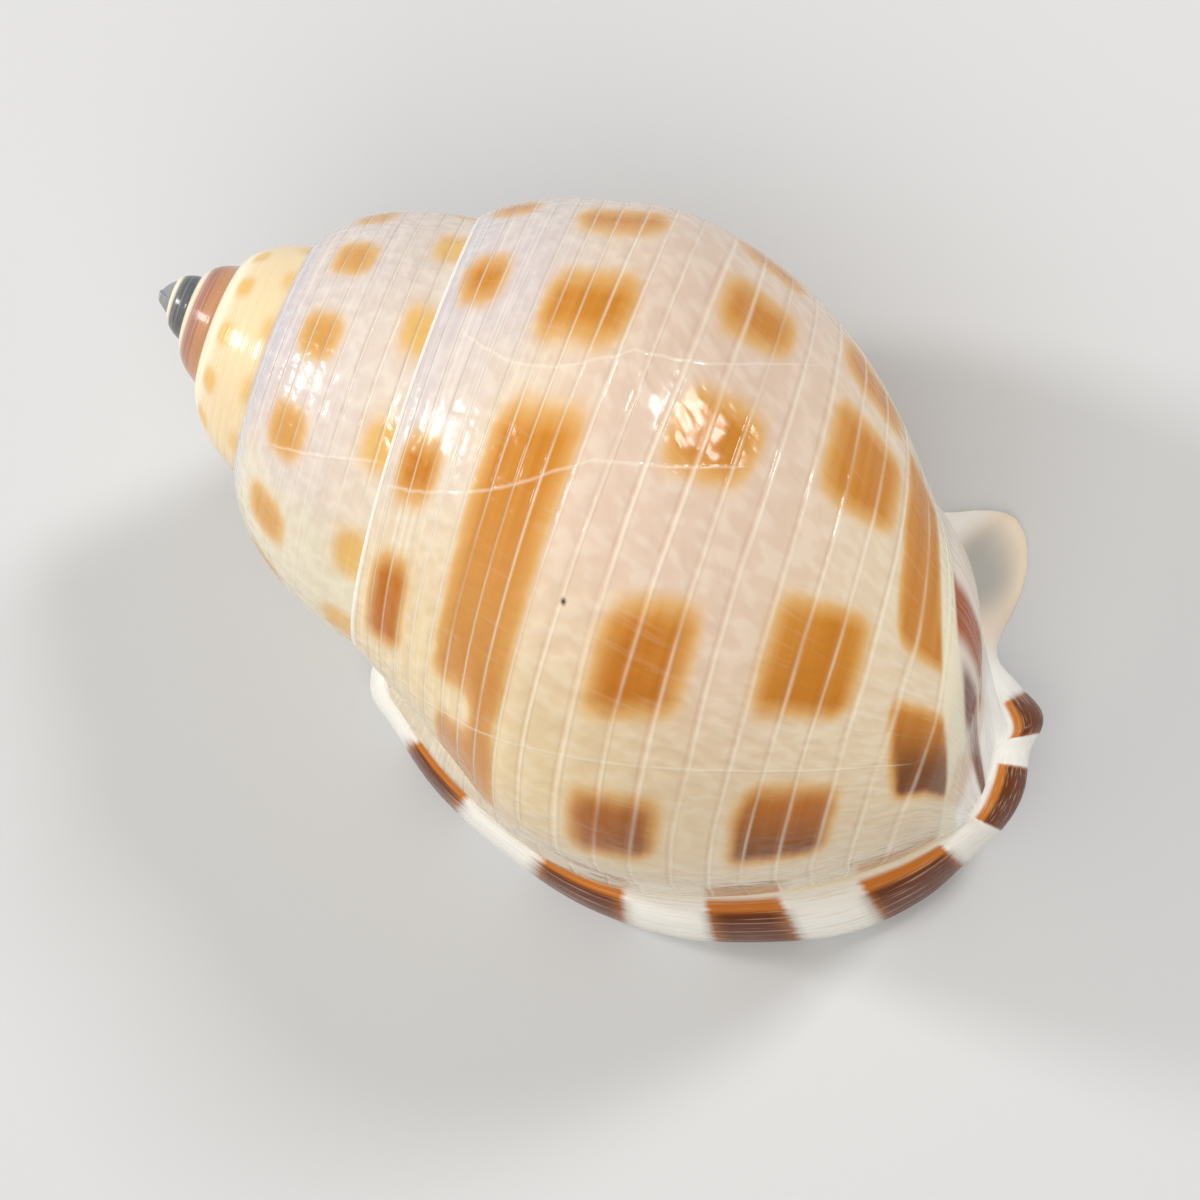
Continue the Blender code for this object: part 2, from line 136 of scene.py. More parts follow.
@dataclass(frozen=True)
class Whorls:
    """The coiled tube: how each whorl's profile grows with the turns, in millimetres."""

    seam_s: float = 22.9
    seam_r: float = 16.4
    growth_s: float = 0.80
    growth_s_rise: float = 0.045
    growth_r: float = 0.63
    turns: tuple[float, ...] = (-0.85, -0.75, -0.50, -0.25, 0.00, 0.15)
    lines: tuple[tuple[Pair, ...], ...] = (
        ((22.3, 15.0), (27.6, 14.9), (33.0, 13.5), (37.8, 11.3), (42.0, 8.6), (45.5, 6.0)),
        ((23.6, 15.6), (29.3, 14.5), (34.9, 13.2), (39.7, 11.4), (43.9, 8.9), (47.3, 6.2)),
        ((26.8, 17.7), (32.7, 17.2), (38.1, 15.4), (42.6, 12.5), (46.6, 8.9), (50.6, 5.8)),
        ((30.3, 19.3), (36.8, 18.9), (43.2, 16.8), (48.4, 13.4), (52.8, 8.8), (56.3, 4.2)),
        ((33.8, 19.3), (40.8, 19.1), (46.6, 16.8), (51.0, 13.8), (54.8, 10.2), (57.3, 7.0)),
        ((35.0, 20.4), (41.6, 20.2), (47.2, 17.9), (51.6, 14.8), (55.2, 11.2), (57.6, 8.0)),
    )
    line_at: tuple[float, ...] = (0.38, 0.52, 0.66, 0.79, 0.90, 1.0)
    knot_at: tuple[float, ...] = (0.0, 0.02, 0.075, 0.14, 0.24)

    def seam(self, turn: np.ndarray) -> np.ndarray:
        """Where a whorl meets the one before it, as (along, out).

        Args:
            turn: Turns, 0 at the lip side.

        Returns:
            Rows of (along the axis, out from it).
        """
        bump = 0.085 * np.exp(3 * (np.cos(2 * math.pi * turn - 0.09) - 1))
        near_lip = np.maximum(0.0, turn + 0.1) ** 2
        late = np.maximum(0.0, turn + 0.5) ** 2
        tip = 0.8 * smooth((-2.6 - turn) / 2.6)
        along = self.growth_s * turn + self.growth_s_rise * turn * turn - 1.8 * near_lip
        out = self.growth_r * turn - 0.32 * late
        return np.stack([self.seam_s * np.exp(along - bump) - tip, self.seam_r * np.exp(out - bump)], 1)

    def waist(self, turn: np.ndarray) -> np.ndarray:
        """The spiral line that the next whorl's seam follows."""
        late = spline(self.turns, [line[0] for line in self.lines], turn)
        return np.where((turn <= START_TURN)[:, None], self.seam(turn + 1), late)

    def bulge(self, turn: np.ndarray) -> np.ndarray:
        """How much a whorl swells between the seam and the waist.

        Args:
            turn: Turns, 0 at the lip side.

        Returns:
            Shares of the distance between the two.
        """
        grown = smooth((turn + 5.2) / 0.8)
        last = 0.045 * smooth((turn + 1.1) / 0.5) + 0.085 * smooth((turn + 0.3) / 0.3)
        return 0.125 * grown - last

    def shoulder(self, turn: np.ndarray, x: np.ndarray) -> np.ndarray:
        """Profile from the seam at x = 0 to the waist at x = 1.

        Args:
            turn: Turns, 0 at the lip side.
            x: Places between the two, one for each turn.

        Returns:
            Rows of (along the axis, out from it).
        """
        start, end = self.seam(turn), self.waist(turn)
        swell = (self.bulge(turn) * 3.5 * x**0.74 * (1 - x) ** 1.05)[:, None]
        run = end - start
        return start + run * x[:, None] + np.stack([-run[:, 1], run[:, 0]], 1) * swell

    def profile(self, turn: np.ndarray, v: np.ndarray) -> np.ndarray:
        """The outside at a turn, v running from the seam at 0 to the end of the base at 1.

        Args:
            turn: Turns, 0 at the lip side.
            v: Places across the whorl, one for each turn.

        Returns:
            Rows of (along the axis, out from it).
        """
        flat = np.array(self.lines).reshape(len(self.turns), -1)
        low = spline(self.turns, flat, np.clip(turn, START_TURN, LIP_TURN)).reshape(len(turn), -1, 2)
        here = self.waist(turn)
        scale = (here[:, 1] / low[:, 0, 1])[:, None, None]
        early = (turn < START_TURN)[:, None, None]
        low = np.where(early, here[:, None] + (low - low[:, :1]) * scale, low)
        arc = self.shoulder(turn, np.minimum(v / WAIST, 1.0))
        knots = [self.shoulder(turn, np.full(len(turn), a / WAIST)) for a in self.knot_at]
        whole = spline(self.knot_at + self.line_at, np.concatenate([np.stack(knots, 1), low], 1), v)
        blend = np.minimum(v / 0.075, 1.0)[:, None]
        whole = arc + (whole - arc) * blend
        share = np.where(v <= WAIST, smooth((turn + 1.25) / 0.35), 1.0)[:, None]
        share = np.where((turn < -1.25)[:, None], 0.0, share)
        return arc + (whole - arc) * share


@dataclass(frozen=True)
class Rim:
    """The rolled rim round the opening, in millimetres.

    Each row holds the place along the rim, then its groove, its outermost edge and the inner
    edge of the opening, the height of its rounded back and the depth of its rounded face.
    """

    rows: tuple[tuple[float, Triple, Triple, Triple, float, float], ...] = (
        (0.00, (22.0, -9.2, -12.2), (20.3, -10.0, -13.9), (24.3, -9.9, -13.4), 0.3, 0.9),
        (0.05, (21.2, -12.5, -12.0), (19.6, -13.3, -14.4), (24.1, -11.6, -13.9), 0.7, 1.3),
        (0.12, (21.6, -15.2, -11.5), (20.3, -16.5, -14.3), (24.9, -13.6, -14.1), 1.1, 1.6),
        (0.20, (23.9, -16.8, -11.0), (22.9, -18.1, -13.9), (26.7, -15.1, -14.1), 1.4, 1.8),
        (0.30, (28.0, -18.7, -10.4), (27.2, -20.4, -13.3), (30.0, -16.5, -13.7), 1.5, 1.9),
        (0.40, (33.3, -20.0, -9.7), (32.9, -21.9, -12.5), (34.5, -17.5, -13.1), 1.5, 1.9),
        (0.50, (38.3, -20.2, -8.9), (38.9, -22.5, -11.7), (39.0, -17.6, -12.5), 1.5, 1.9),
        (0.60, (43.0, -18.9, -8.2), (44.7, -21.6, -10.9), (43.5, -16.9, -11.9), 1.5, 1.9),
        (0.70, (47.2, -16.9, -7.5), (49.7, -19.4, -10.2), (47.7, -15.6, -11.3), 1.5, 1.8),
        (0.80, (51.1, -14.3, -6.8), (54.3, -16.4, -9.5), (51.4, -13.6, -10.8), 1.5, 1.7),
        (0.90, (54.4, -11.2, -6.0), (57.3, -12.6, -8.7), (54.9, -11.0, -10.2), 1.4, 1.5),
        (1.00, (56.5, -8.5, -4.6), (58.7, -9.1, -7.0), (56.9, -8.0, -8.6), 1.2, 1.1),
        (1.25, (57.4, -6.4, -3.4), (59.6, -6.3, -4.9), (57.8, -6.3, -6.5), 1.0, 0.8),
        (1.50, (57.4, -4.4, -3.0), (59.7, -4.0, -4.3), (57.9, -4.7, -5.5), 0.8, 0.7),
        (1.75, (57.0, -2.5, -3.2), (59.0, -1.7, -4.6), (57.6, -3.2, -5.8), 0.7, 0.7),
        (2.00, (56.8, -0.6, -4.0), (58.3, 1.1, -5.4), (57.6, -2.1, -7.4), 0.9, 0.8),
        (2.10, (55.4, 0.6, -4.8), (56.5, 1.9, -7.2), (56.6, -1.8, -9.0), 0.6, 0.8),
        (2.20, (53.6, 2.2, -5.6), (54.6, 3.3, -9.2), (55.4, -1.7, -9.8), 0.4, 0.9),
        (2.25, (52.7, 3.0, -6.0), (54.5, 5.2, -9.7), (54.5, -1.6, -10.1), 0.3, 0.9),
        (2.30, (51.8, 3.9, -6.4), (54.4, 7.3, -9.9), (53.6, -1.6, -10.3), 0.2, 0.9),
        (2.35, (50.9, 4.8, -6.8), (53.6, 9.6, -10.2), (52.5, -1.7, -10.5), 0.1, 0.9),
        (2.40, (49.8, 5.6, -7.3), (52.1, 11.0, -10.4), (51.2, -1.8, -10.7), 0.1, 0.9),
        (2.45, (48.3, 6.2, -8.1), (50.3, 10.7, -10.7), (49.6, -2.1, -10.9), 0.1, 0.9),
        (2.50, (46.6, 6.7, -8.9), (48.2, 9.5, -11.0), (47.8, -2.5, -11.1), 0.1, 0.9),
        (2.60, (42.6, 6.3, -10.4), (43.4, 7.7, -11.6), (43.6, -3.6, -11.6), 0.1, 1.0),
        (2.70, (38.0, 4.4, -12.1), (38.3, 5.4, -12.6), (39.0, -5.0, -12.3), 0.1, 0.8),
        (2.80, (32.6, 1.1, -13.75), (32.6, 1.6, -14.1), (33.8, -6.6, -13.0), 0.0, 0.5),
        (2.85, (29.8, -1.9, -14.25), (29.6, -1.5, -14.65), (31.1, -7.3, -13.3), 0.0, 0.35),
        (2.90, (27.0, -4.6, -14.2), (26.6, -4.6, -14.6), (28.4, -8.0, -13.5), 0.0, 0.4),
        (3.00, (22.0, -9.2, -12.2), (20.3, -10.0, -13.9), (24.3, -9.9, -13.4), 0.3, 0.9),
    )
    tooth_height: float = 0.42
    tooth_step: float = 0.047
    fold_height: float = 0.35

    def row(self, along: np.ndarray) -> np.ndarray:
        """All sizes of the rim at places along it, eleven to a row."""
        flat = [one[1] + one[2] + one[3] + one[4:] for one in self.rows]
        return spline([one[0] for one in self.rows], flat, along)

    def groove(self, along: np.ndarray) -> np.ndarray:
        """The groove where the rim rises from the last whorl."""
        return self.row(along)[:, :3]

    def across(self, along: np.ndarray) -> np.ndarray:
        """Six points across the rim, from its groove round to the inner edge.

        Args:
            along: Places along the rim.

        Returns:
            Points as (places, 6, 3).
        """
        row = self.row(along)
        groove, edge, inner = row[:, :3], row[:, 3:6], row[:, 6:9]
        up = np.array([0.0, 0.0, 1.0])
        lift, belly = row[:, 9:10] * up, row[:, 10:11] * up
        lobe = (smooth((along - 2.1) / 0.15) * smooth((2.68 - along) / 0.15))[:, None]
        back = groove + (0.55 + 0.3 * lobe) * (edge - groove) + lift
        front = edge + (0.20 - 0.13 * lobe) * (inner - edge) - 0.85 * belly
        face = edge + 0.68 * (inner - edge) - belly
        return np.stack([groove, back, edge, front, face, inner], axis=1)

    def teeth(self, along: np.ndarray, t: float) -> np.ndarray:
        """How far the teeth of the outer lip and the folds of the shield stand out.

        Args:
            along: Places along the rim.
            t: Place across the rim, 0 at its groove and 5 at the inner edge.

        Returns:
            Heights in millimetres.
        """
        wave = np.cos(2 * math.pi * (along / self.tooth_step + 0.35 * np.sin(9 * along)))
        lip = smooth((along - 0.12) / 0.12) * smooth((1.02 - along) / 0.1)
        tooth = self.tooth_height * lip * smooth(wave * 0.9) * math.exp(-(((t - 4.7) / 0.55) ** 2))
        ripple = np.cos(2 * math.pi * (along / 0.052 + 0.4 * np.sin(23 * along)))
        shield = smooth((along - 2.1) / 0.08) * smooth((2.72 - along) / 0.2)
        fold = self.fold_height * shield * smooth(ripple) * math.exp(-(((t - 4.6) / 0.8) ** 2))
        return tooth + fold


@dataclass(frozen=True)
class LastTurn:
    """The last whorl, fitted to the rim at the lip and at the edge of the shield."""

    whorls: Whorls
    rim: Rim
    start_at: tuple[float, ...] = (0.38, 0.47, 0.60, 0.72, 0.83, 0.90)
    sag: float = 1.3
    flare: float = 0.93

    def turn_at_lip(self, v: np.ndarray) -> np.ndarray:
        """Turn at which a spiral line reaches the lip.

        Args:
            v: Places across the whorl.

        Returns:
            Turns.
        """
        at = (0, 0.05, 0.12, 0.2, 0.4, 0.6, 0.8, 0.9, 1.0)
        turns = (0.15, 0.125, 0.105, 0.092, 0.075, 0.066, 0.07, 0.078, 0.083)
        return spline(at, [[turn] for turn in turns], v)[:, 0]

    def turn_at_start(self, v: np.ndarray) -> np.ndarray:
        """Turn at which a spiral line comes out from under the shield.

        Args:
            v: Places across the whorl.

        Returns:
            Turns.
        """
        turns = (-0.85, -0.783, -0.733, -0.694, -0.667, -0.648)
        low = spline(self.start_at, [[turn] for turn in turns], np.maximum(v, WAIST))[:, 0]
        return np.where(v <= WAIST, START_TURN, low)

    def rim_at_start(self, v: np.ndarray) -> np.ndarray:
        """Place along the rim where a spiral line of the base begins."""
        return np.interp(v, self.start_at, (3.0, 2.9, 2.8, 2.7, 2.6, RIDGE_ON_RIM))

    def rim_at_lip(self, v: np.ndarray) -> np.ndarray:
        """Place along the rim where a spiral line ends.

        Args:
            v: Places across the whorl.

        Returns:
            Places along the rim.
        """
        at = (0.0, 0.012, 0.035, 0.075, 0.14, 0.24, 0.38, 0.53, 0.66, 0.78, 0.90)
        places = (0.0, 0.05, 0.12, 0.18, 0.25, 0.335, 0.43, 0.57, 0.70, 0.80, 0.90)
        return np.interp(v, at, places)

    def turn_of(self, j: np.ndarray, v: np.ndarray) -> np.ndarray:
        """Turn of a growth line, j running from 0 at the start to 1 at the lip.

        Args:
            j: Places along the last turn, from 0 to 1.
            v: Places across the whorl.

        Returns:
            Turns.
        """
        late = (self.turn_at_start(v) - START_TURN) * (1 - smooth(j / 0.8))
        early = (LIP_TURN - self.turn_at_lip(v)) * smooth((j - 0.5) / 0.5)
        return START_TURN + j + late - early

    def gap(self, j: float, v: np.ndarray, along: np.ndarray) -> np.ndarray:
        """How far the rim's groove stands from the plain whorl at one end of the turn."""
        turn = self.turn_of(np.full(len(v), j), v)
        return self.rim.groove(along) - on_axis(turn, self.whorls.profile(turn, v))

    def sheet(self, j: np.ndarray, v: np.ndarray) -> np.ndarray:
        """Outside points of the last turn from the seam down to the ridge at the base.

        Args:
            j: Places along the last turn, from 0 to 1.
            v: Places across the whorl.

        Returns:
            Points as (places, 3).
        """
        turn = self.turn_of(j, v)
        point = on_axis(turn, self.whorls.profile(turn, v))
        lip = smooth((j - self.flare) / (1 - self.flare))[:, None]
        point = point + lip * self.gap(1.0, v, self.rim_at_lip(v))
        start = np.where(v > WAIST, smooth(1 - j / 0.25), 0.0)[:, None]
        return point + start * self.gap(0.0, v, self.rim_at_start(v))

    def base(self, j: np.ndarray, w: np.ndarray) -> np.ndarray:
        """Outside points between the ridge, at w = 0, and the canal's rim, at w = 1.

        Args:
            j: Places along the last turn, from 0 to 1.
            w: Places between the two.

        Returns:
            Points as (places, 3).
        """
        one, two = np.ones(len(j)), w[:, None]
        ridge = self.sheet(j, RIDGE * one)
        groove = self.rim.groove

        def side(first: float, last: float) -> np.ndarray:
            """How far a side of the patch bows from the straight line between its ends."""
            ends = (1 - two) * groove(first * one) + two * groove(last * one)
            return groove(first + (last - first) * w) - ends

        bow = (1 - j)[:, None] * side(RIDGE_ON_RIM, 2.0) + j[:, None] * side(0.9, 1.0)
        hollow = self.sag * np.sin(math.pi * w) * np.sin(math.pi * j) ** 2
        sag = hollow[:, None] * np.array([-0.3, 0.0, -1.0])
        return (1 - two) * ridge + two * groove(2 - j) + bow + sag


@dataclass(frozen=True)
class Hollow:
    """The inside of the last whorl, as far in as it can be seen, in millimetres."""

    whorls: Whorls
    rim: Rim
    turns: tuple[float, ...] = (0.02, -0.25, -0.50, -0.62)
    pillar: tuple[tuple[Pair, ...], ...] = (
        ((55.0, 3.6), (49.0, 3.4), (43.0, 4.0), (36.5, 6.8), (30.5, 11.0), (24.3, 14.2)),
        ((51.5, 2.7), (45.0, 2.8), (38.5, 3.6), (32.0, 6.6), (26.5, 10.4), (20.9, 13.8)),
        ((45.5, 2.5), (39.5, 2.6), (33.5, 3.4), (28.0, 5.8), (22.8, 9.0), (17.5, 12.2)),
        ((42.5, 2.4), (37.0, 2.6), (31.0, 3.4), (26.0, 5.4), (21.0, 8.4), (16.2, 11.4)),
    )
    depths: tuple[float, ...] = (0.07, 0.14, 0.21, 0.29, 0.37, 0.46, 0.55, 0.63)
    wall: float = 1.3

    def wall_point(self, turn: np.ndarray, along: np.ndarray) -> np.ndarray:
        """Profile of the inside of the outer wall at places along the rim.

        Args:
            turn: Turns, 0 at the lip side.
            along: Places along the rim.

        Returns:
            Rows of (along the axis, out from it).
        """
        v = 0.05 + 0.86 * np.minimum(along, 1.0)
        here = self.whorls.profile(turn, v)
        run = self.whorls.profile(turn, v + 0.01) - self.whorls.profile(turn, v - 0.01)
        inward = np.stack([run[:, 1], -run[:, 0]], 1) / np.hypot(run[:, 0], run[:, 1])[:, None]
        return here + self.wall * inward

    def ring(self, depth: float, along: np.ndarray) -> np.ndarray:
        """One ring of points inside the whorl.

        Args:
            depth: How far in, in turns from the lip.
            along: Places along the rim.

        Returns:
            Points as (places, 3).
        """
        turn = np.full(len(along), 0.10 - depth)
        flat = np.array(self.pillar).reshape(len(self.turns), -1)
        knots = spline([-t for t in self.turns], flat, -turn).reshape(len(along), -1, 2)
        pillar = spline(np.linspace(2, 3, 6), knots, np.clip(along, 2, 3))
        wall = self.wall_point(turn, along)
        share = np.clip(along - 1, 0, 1)[:, None]
        arch = np.sin(math.pi * share) * np.array([1.2, 0.0])
        across = wall + (knots[:, 0] - wall) * share + arch
        profile = np.where((along >= 2)[:, None], pillar, np.where((along <= 1)[:, None], wall, across))
        return on_axis(turn, profile)


class Zone(Enum):
    """Which finish a face takes."""

    WHORLS = 0
    ENAMEL = 1


@dataclass
class Skin:
    """Points, faces and their marks, as they are added."""

    points: list[np.ndarray] = field(default_factory=list)
    faces: list[np.ndarray] = field(default_factory=list)
    marks: list[np.ndarray] = field(default_factory=list)
    zones: list[np.ndarray] = field(default_factory=list)
    count: int = 0

    def add(self, points: np.ndarray) -> np.ndarray:
        """Add points.

        Args:
            points: Points as (count, 3).

        Returns:
            Their numbers.
        """
        ids = np.arange(self.count, self.count + len(points))
        self.points.append(points)
        self.count += len(points)
        return ids

    def quads(self, ids: np.ndarray, marks: np.ndarray, zone: Zone) -> None:
        """Add the faces of a grid of points.

        Args:
            ids: Point numbers as (columns, rows).
            marks: The two marks of each corner, as (columns, rows, 2).
            zone: The finish of all these faces.
        """
        self.faces.append(self.corners(ids).reshape(-1, 4))
        self.marks.append(self.corners(marks).reshape(-1, 4, 2))
        self.zones.append(np.full(len(self.faces[-1]), zone.value))

    @staticmethod
    def corners(grid: np.ndarray) -> np.ndarray:
        """The four corners of each cell of a grid, in order round the cell."""
        return np.stack([grid[:-1, :-1], grid[1:, :-1], grid[1:, 1:], grid[:-1, 1:]], axis=2)

    def fan(self, ring: np.ndarray, middle: int, marks: np.ndarray, mark: Pair, zone: Zone) -> None:
        """Add triangles from a ring of points to one point, as quads with a doubled corner.

        Args:
            ring: Point numbers, with the first again at the end.
            middle: Number of the point in the middle.
            marks: The two marks of each point of the ring.
            mark: The two marks of the middle.
            zone: The finish of these faces.
        """
        count = len(ring) - 1
        centre = np.full(count, middle)
        centre_mark = np.tile(mark, (count, 1))
        self.faces.append(np.stack([ring[:-1], ring[1:], centre, centre], 1))
        self.marks.append(np.stack([marks[:-1], marks[1:], centre_mark, centre_mark], 1))
        self.zones.append(np.full(count, zone.value))


@dataclass
class ShellSkin:
    """The whole shell as one closed mesh, grown turn by turn."""

    whorls: Whorls = Whorls()
    rim: Rim = Rim()
    around: int = 192
    spire_parts: int = 3
    body_parts: int = 4
    base_parts: int = 3
    spire_turns: float = 209 / 48
    tip_rise: float = 0.4
    rest_slope: float = 0.16
    rest_floor: float = -19.0971
    plan_centre: Pair = (29.1567, -2.3561)

    def __post_init__(self) -> None:
        """Set out the rows and columns."""
        spire = (0.0, 0.012, 0.035, 0.075, 0.14, 0.24)
        body = (0.38, 0.42, 0.47, 0.53, 0.60, 0.66, 0.72, 0.78, 0.83, 0.87, 0.90)
        self.last = LastTurn(self.whorls, self.rim)
        self.hollow = Hollow(self.whorls, self.rim)
        shoulder = finer(spire + (WAIST,), self.spire_parts)
        self.body_rows = np.append(shoulder, finer(body, self.body_parts)[1:])
        self.seam_row = len(shoulder) - 1
        self.base_rows = finer((0.0, 0.12, 0.25, 0.38, 0.50, 0.62, 0.74, 0.87, 1.0), self.base_parts)[1:]
        self.spire_columns = round(self.spire_turns * self.around)
        self.growth = START_TURN + np.arange(-self.spire_columns, self.around + 1) / self.around

    def grow_spire(self, skin: Skin) -> np.ndarray:
        """The early whorls, without the row on the next whorl's seam.

        Args:
            skin: The mesh so far.

        Returns:
            Point numbers as (columns, rows).
        """
        rows = self.body_rows[: self.seam_row]
        turn, v = np.meshgrid(self.growth[: self.spire_columns], rows, indexing="ij")
        points = on_axis(turn.ravel(), self.whorls.profile(turn.ravel(), v.ravel()))
        return skin.add(points).reshape(turn.shape)

    def grow_last_turn(self, skin: Skin) -> np.ndarray:
        """The last whorl with its base, whose corner at the lip is the seam of its start.

        Args:
            skin: The mesh so far.

        Returns:
            Point numbers as (columns, rows).
        """
        j = np.linspace(0, 1, self.around + 1)
        jj, v = np.meshgrid(j, self.body_rows, indexing="ij")
        body = skin.add(self.last.sheet(jj.ravel(), v.ravel())).reshape(jj.shape)
        body[-1, 0] = body[0, self.seam_row]
        jj, w = np.meshgrid(j, self.base_rows, indexing="ij")
        base = skin.add(self.last.base(jj.ravel(), w.ravel())).reshape(jj.shape)
        return np.concatenate([body, base], axis=1)

    def outside(self, skin: Skin) -> np.ndarray:
        """All whorls and the tip.

        Args:
            skin: The mesh so far.

        Returns:
            Point numbers of the last turn, as (columns, rows).
        """
        spire = self.grow_spire(skin)
        last = self.grow_last_turn(skin)
        v = np.concatenate([self.body_rows, RIDGE + (1 - RIDGE) * self.base_rows])
        seam = np.concatenate([spire[:, 0], last[:, 0]])[self.around : self.around + self.spire_columns]
        upper = np.concatenate([np.column_stack([spire, seam]), last[:1, : self.seam_row + 1]])
        early = self.marks(self.growth[: self.spire_columns + 1], v[: self.seam_row + 1])
        skin.quads(upper, early, Zone.WHORLS)
        skin.quads(last, self.marks(self.growth[self.spire_columns :], v), Zone.WHORLS)
        self.tip(skin, np.concatenate([upper[0], spire[self.around - 1 :: -1, 0]]))
        return last

    def tip(self, skin: Skin, ring: np.ndarray) -> None:
        """Close the first whorl with a small dome.

        Args:
            skin: The mesh so far.
            ring: Point numbers of its edge, with the first again at the end.
        """
        edge = np.concatenate(skin.points)[ring]
        centre = edge.mean(axis=0)
        marks = np.tile((self.growth[0], 0.1), (2, len(ring), 1))
        for out in (0.85, 0.6, 0.3):
            dome = centre + out * (edge - centre) - (self.tip_rise * (1 - out * out), 0.0, 0.0)
            inner = skin.add(dome[:-1])
            inner = np.append(inner, inner[0])
            skin.quads(np.stack([inner, ring]), marks, Zone.WHORLS)
            ring = inner
        point = int(skin.add(centre[None] - (self.tip_rise, 0.0, 0.0))[0])
        skin.fan(ring, point, marks[0], (self.growth[0], 0.0), Zone.WHORLS)

    @staticmethod
    def marks(across: np.ndarray, down: np.ndarray) -> np.ndarray:
        """The grid of the two marks."""
        return np.stack(np.meshgrid(across, down, indexing="ij"), axis=2)

    def rim_loop(self, last: np.ndarray) -> tuple[np.ndarray, np.ndarray]:
        """The groove once round the opening.

        Args:
            last: Point numbers of the last turn.

        Returns:
            Point numbers, and the place along the rim of each.
        """
        seam = self.seam_row
        lip = np.append(self.last.rim_at_lip(self.body_rows), RIDGE + (1 - RIDGE) * self.base_rows)
        base = RIDGE_ON_RIM - (RIDGE_ON_RIM - 2) * self.base_rows
        start = np.append(self.last.rim_at_start(self.body_rows), base)
        canal = 2 - np.linspace(0, 1, self.around + 1)
        ids = np.concatenate([last[-1, :-1], last[:0:-1, -1], last[0, :seam:-1]])
        along = np.concatenate([lip[:-1], canal[:0:-1], start[:seam:-1]])
        return ids, along

    def across(self, along: np.ndarray) -> tuple[np.ndarray, np.ndarray]:
        """Every ring from the groove over the rim into the hollow.

        Args:
            along: Places along the rim.

        Returns:
            Places across as numbers, and points as (rings, places, 3).
        """
        knots = list(self.rim.across(along).transpose(1, 0, 2))
        inner = knots[-1]
        for k, depth in enumerate(self.hollow.depths):
            share = (0.5, 0.85, 1.0)[min(k, 2)]
            knots.append(inner + (self.hollow.ring(depth, along) - inner) * share)
        knots = np.stack(knots, axis=1)
        at = np.concatenate([finer(tuple(range(7)), 4), finer(tuple(range(6, len(knots[0]))), 2)[1:]])
        rings = [spline(range(knots.shape[1]), knots, np.full(len(along), t)) for t in at]
        inward = knots[:, 5] - knots[:, 2]
        inward /= np.linalg.norm(inward, axis=1)[:, None]
        for k, t in enumerate(at):
            rings[k] = rings[k] + self.rim.teeth(along, t)[:, None] * (0.8 * inward - (0, 0, 0.45))
        return at, np.stack(rings)

    def inside(self, skin: Skin, last: np.ndarray) -> None:
        """The rolled rim, the shield and the hollow, closed where it can't be seen.

        Args:
            skin: The mesh so far.
            last: Point numbers of the last turn.
        """
        ids, along = self.rim_loop(last)
        at, rings = self.across(along)
        grid = [ids] + [skin.add(ring) for ring in rings[1:]]
        grid = np.stack([np.append(ring, ring[:1]) for ring in grid])
        places = np.append(along, 3.0)
        skin.quads(grid, self.marks(at, places)[:, :, ::-1], Zone.ENAMEL)
        deepest = grid[-1][::-1]
        marks = np.stack([places[::-1], np.full(len(places), at[-1])], 1)
        middle = int(skin.add(rings[-1].mean(axis=0, keepdims=True))[0])
        skin.fan(deepest, middle, marks, (1.5, at[-1]), Zone.ENAMEL)

    def at_rest(self, points: np.ndarray) -> np.ndarray:
        """Turned so that the resting plane is level, cut flat there, and centred in plan.

        Args:
            points: Points round the coiling axis, in millimetres.

        Returns:
            The points as the shell lies.
        """
        tilt = math.atan(self.rest_slope)
        x = points[:, 0] * math.cos(tilt) + points[:, 2] * math.sin(tilt)
        z = -points[:, 0] * math.sin(tilt) + points[:, 2] * math.cos(tilt)
        flat = np.maximum(z - self.rest_floor, 0.0)
        return np.stack([x - self.plan_centre[0], points[:, 1] - self.plan_centre[1], flat], 1)

    def build(self) -> bpy.types.Object:
        """Make the mesh object with its two sets of marks and its two finishes' faces.

        Returns:
            The object.
        """
        skin = Skin()
        last = self.outside(skin)
        self.inside(skin, last)
        points = self.at_rest(np.concatenate(skin.points)) * MM
        faces, marks = np.concatenate(skin.faces), np.concatenate(skin.marks)
        zones = np.concatenate(skin.zones)
        mesh = bpy.data.meshes.new("shell_skin")
        sizes = np.where(faces[:, 2] == faces[:, 3], 3, 4)
        keep = np.ones(faces.shape, bool)
        keep[sizes == 3, 3] = False
        starts = np.concatenate([[0], np.cumsum(sizes)[:-1]])
        mesh.vertices.add(len(points))
        mesh.vertices.foreach_set("co", points.ravel())
        mesh.loops.add(int(sizes.sum()))
        mesh.loops.foreach_set("vertex_index", faces[keep])
        mesh.polygons.add(len(faces))
        mesh.polygons.foreach_set("loop_start", starts)
        mesh.polygons.foreach_set("material_index", zones)
        mesh.polygons.foreach_set("use_smooth", np.ones(len(faces), bool))
        per_corner = marks[keep]
        for name, zone in ((GROWTH_UV, Zone.WHORLS), (RIM_UV, Zone.ENAMEL)):
            own = np.repeat(zones == zone.value, sizes)[:, None]
            layer = mesh.uv_layers.new(name=name)
            layer.data.foreach_set("uv", np.where(own, per_corner, 0.0).ravel())
        mesh.update(calc_edges=True)
        mesh.validate()
        return link("shell_skin", mesh)


def tint(red: int, green: int, blue: int) -> Triple:
    """A colour given as it looks on a screen, turned to linear light.

    Args:
        red: Red, from 0 to 255.
        green: Green.
        blue: Blue.

    Returns:
        Linear red, green and blue.
    """
    parts = [c / 255 for c in (red, green, blue)]
    linear = [p / 12.92 if p <= 0.04045 else ((p + 0.055) / 1.055) ** 2.4 for p in parts]
    return linear[0], linear[1], linear[2]


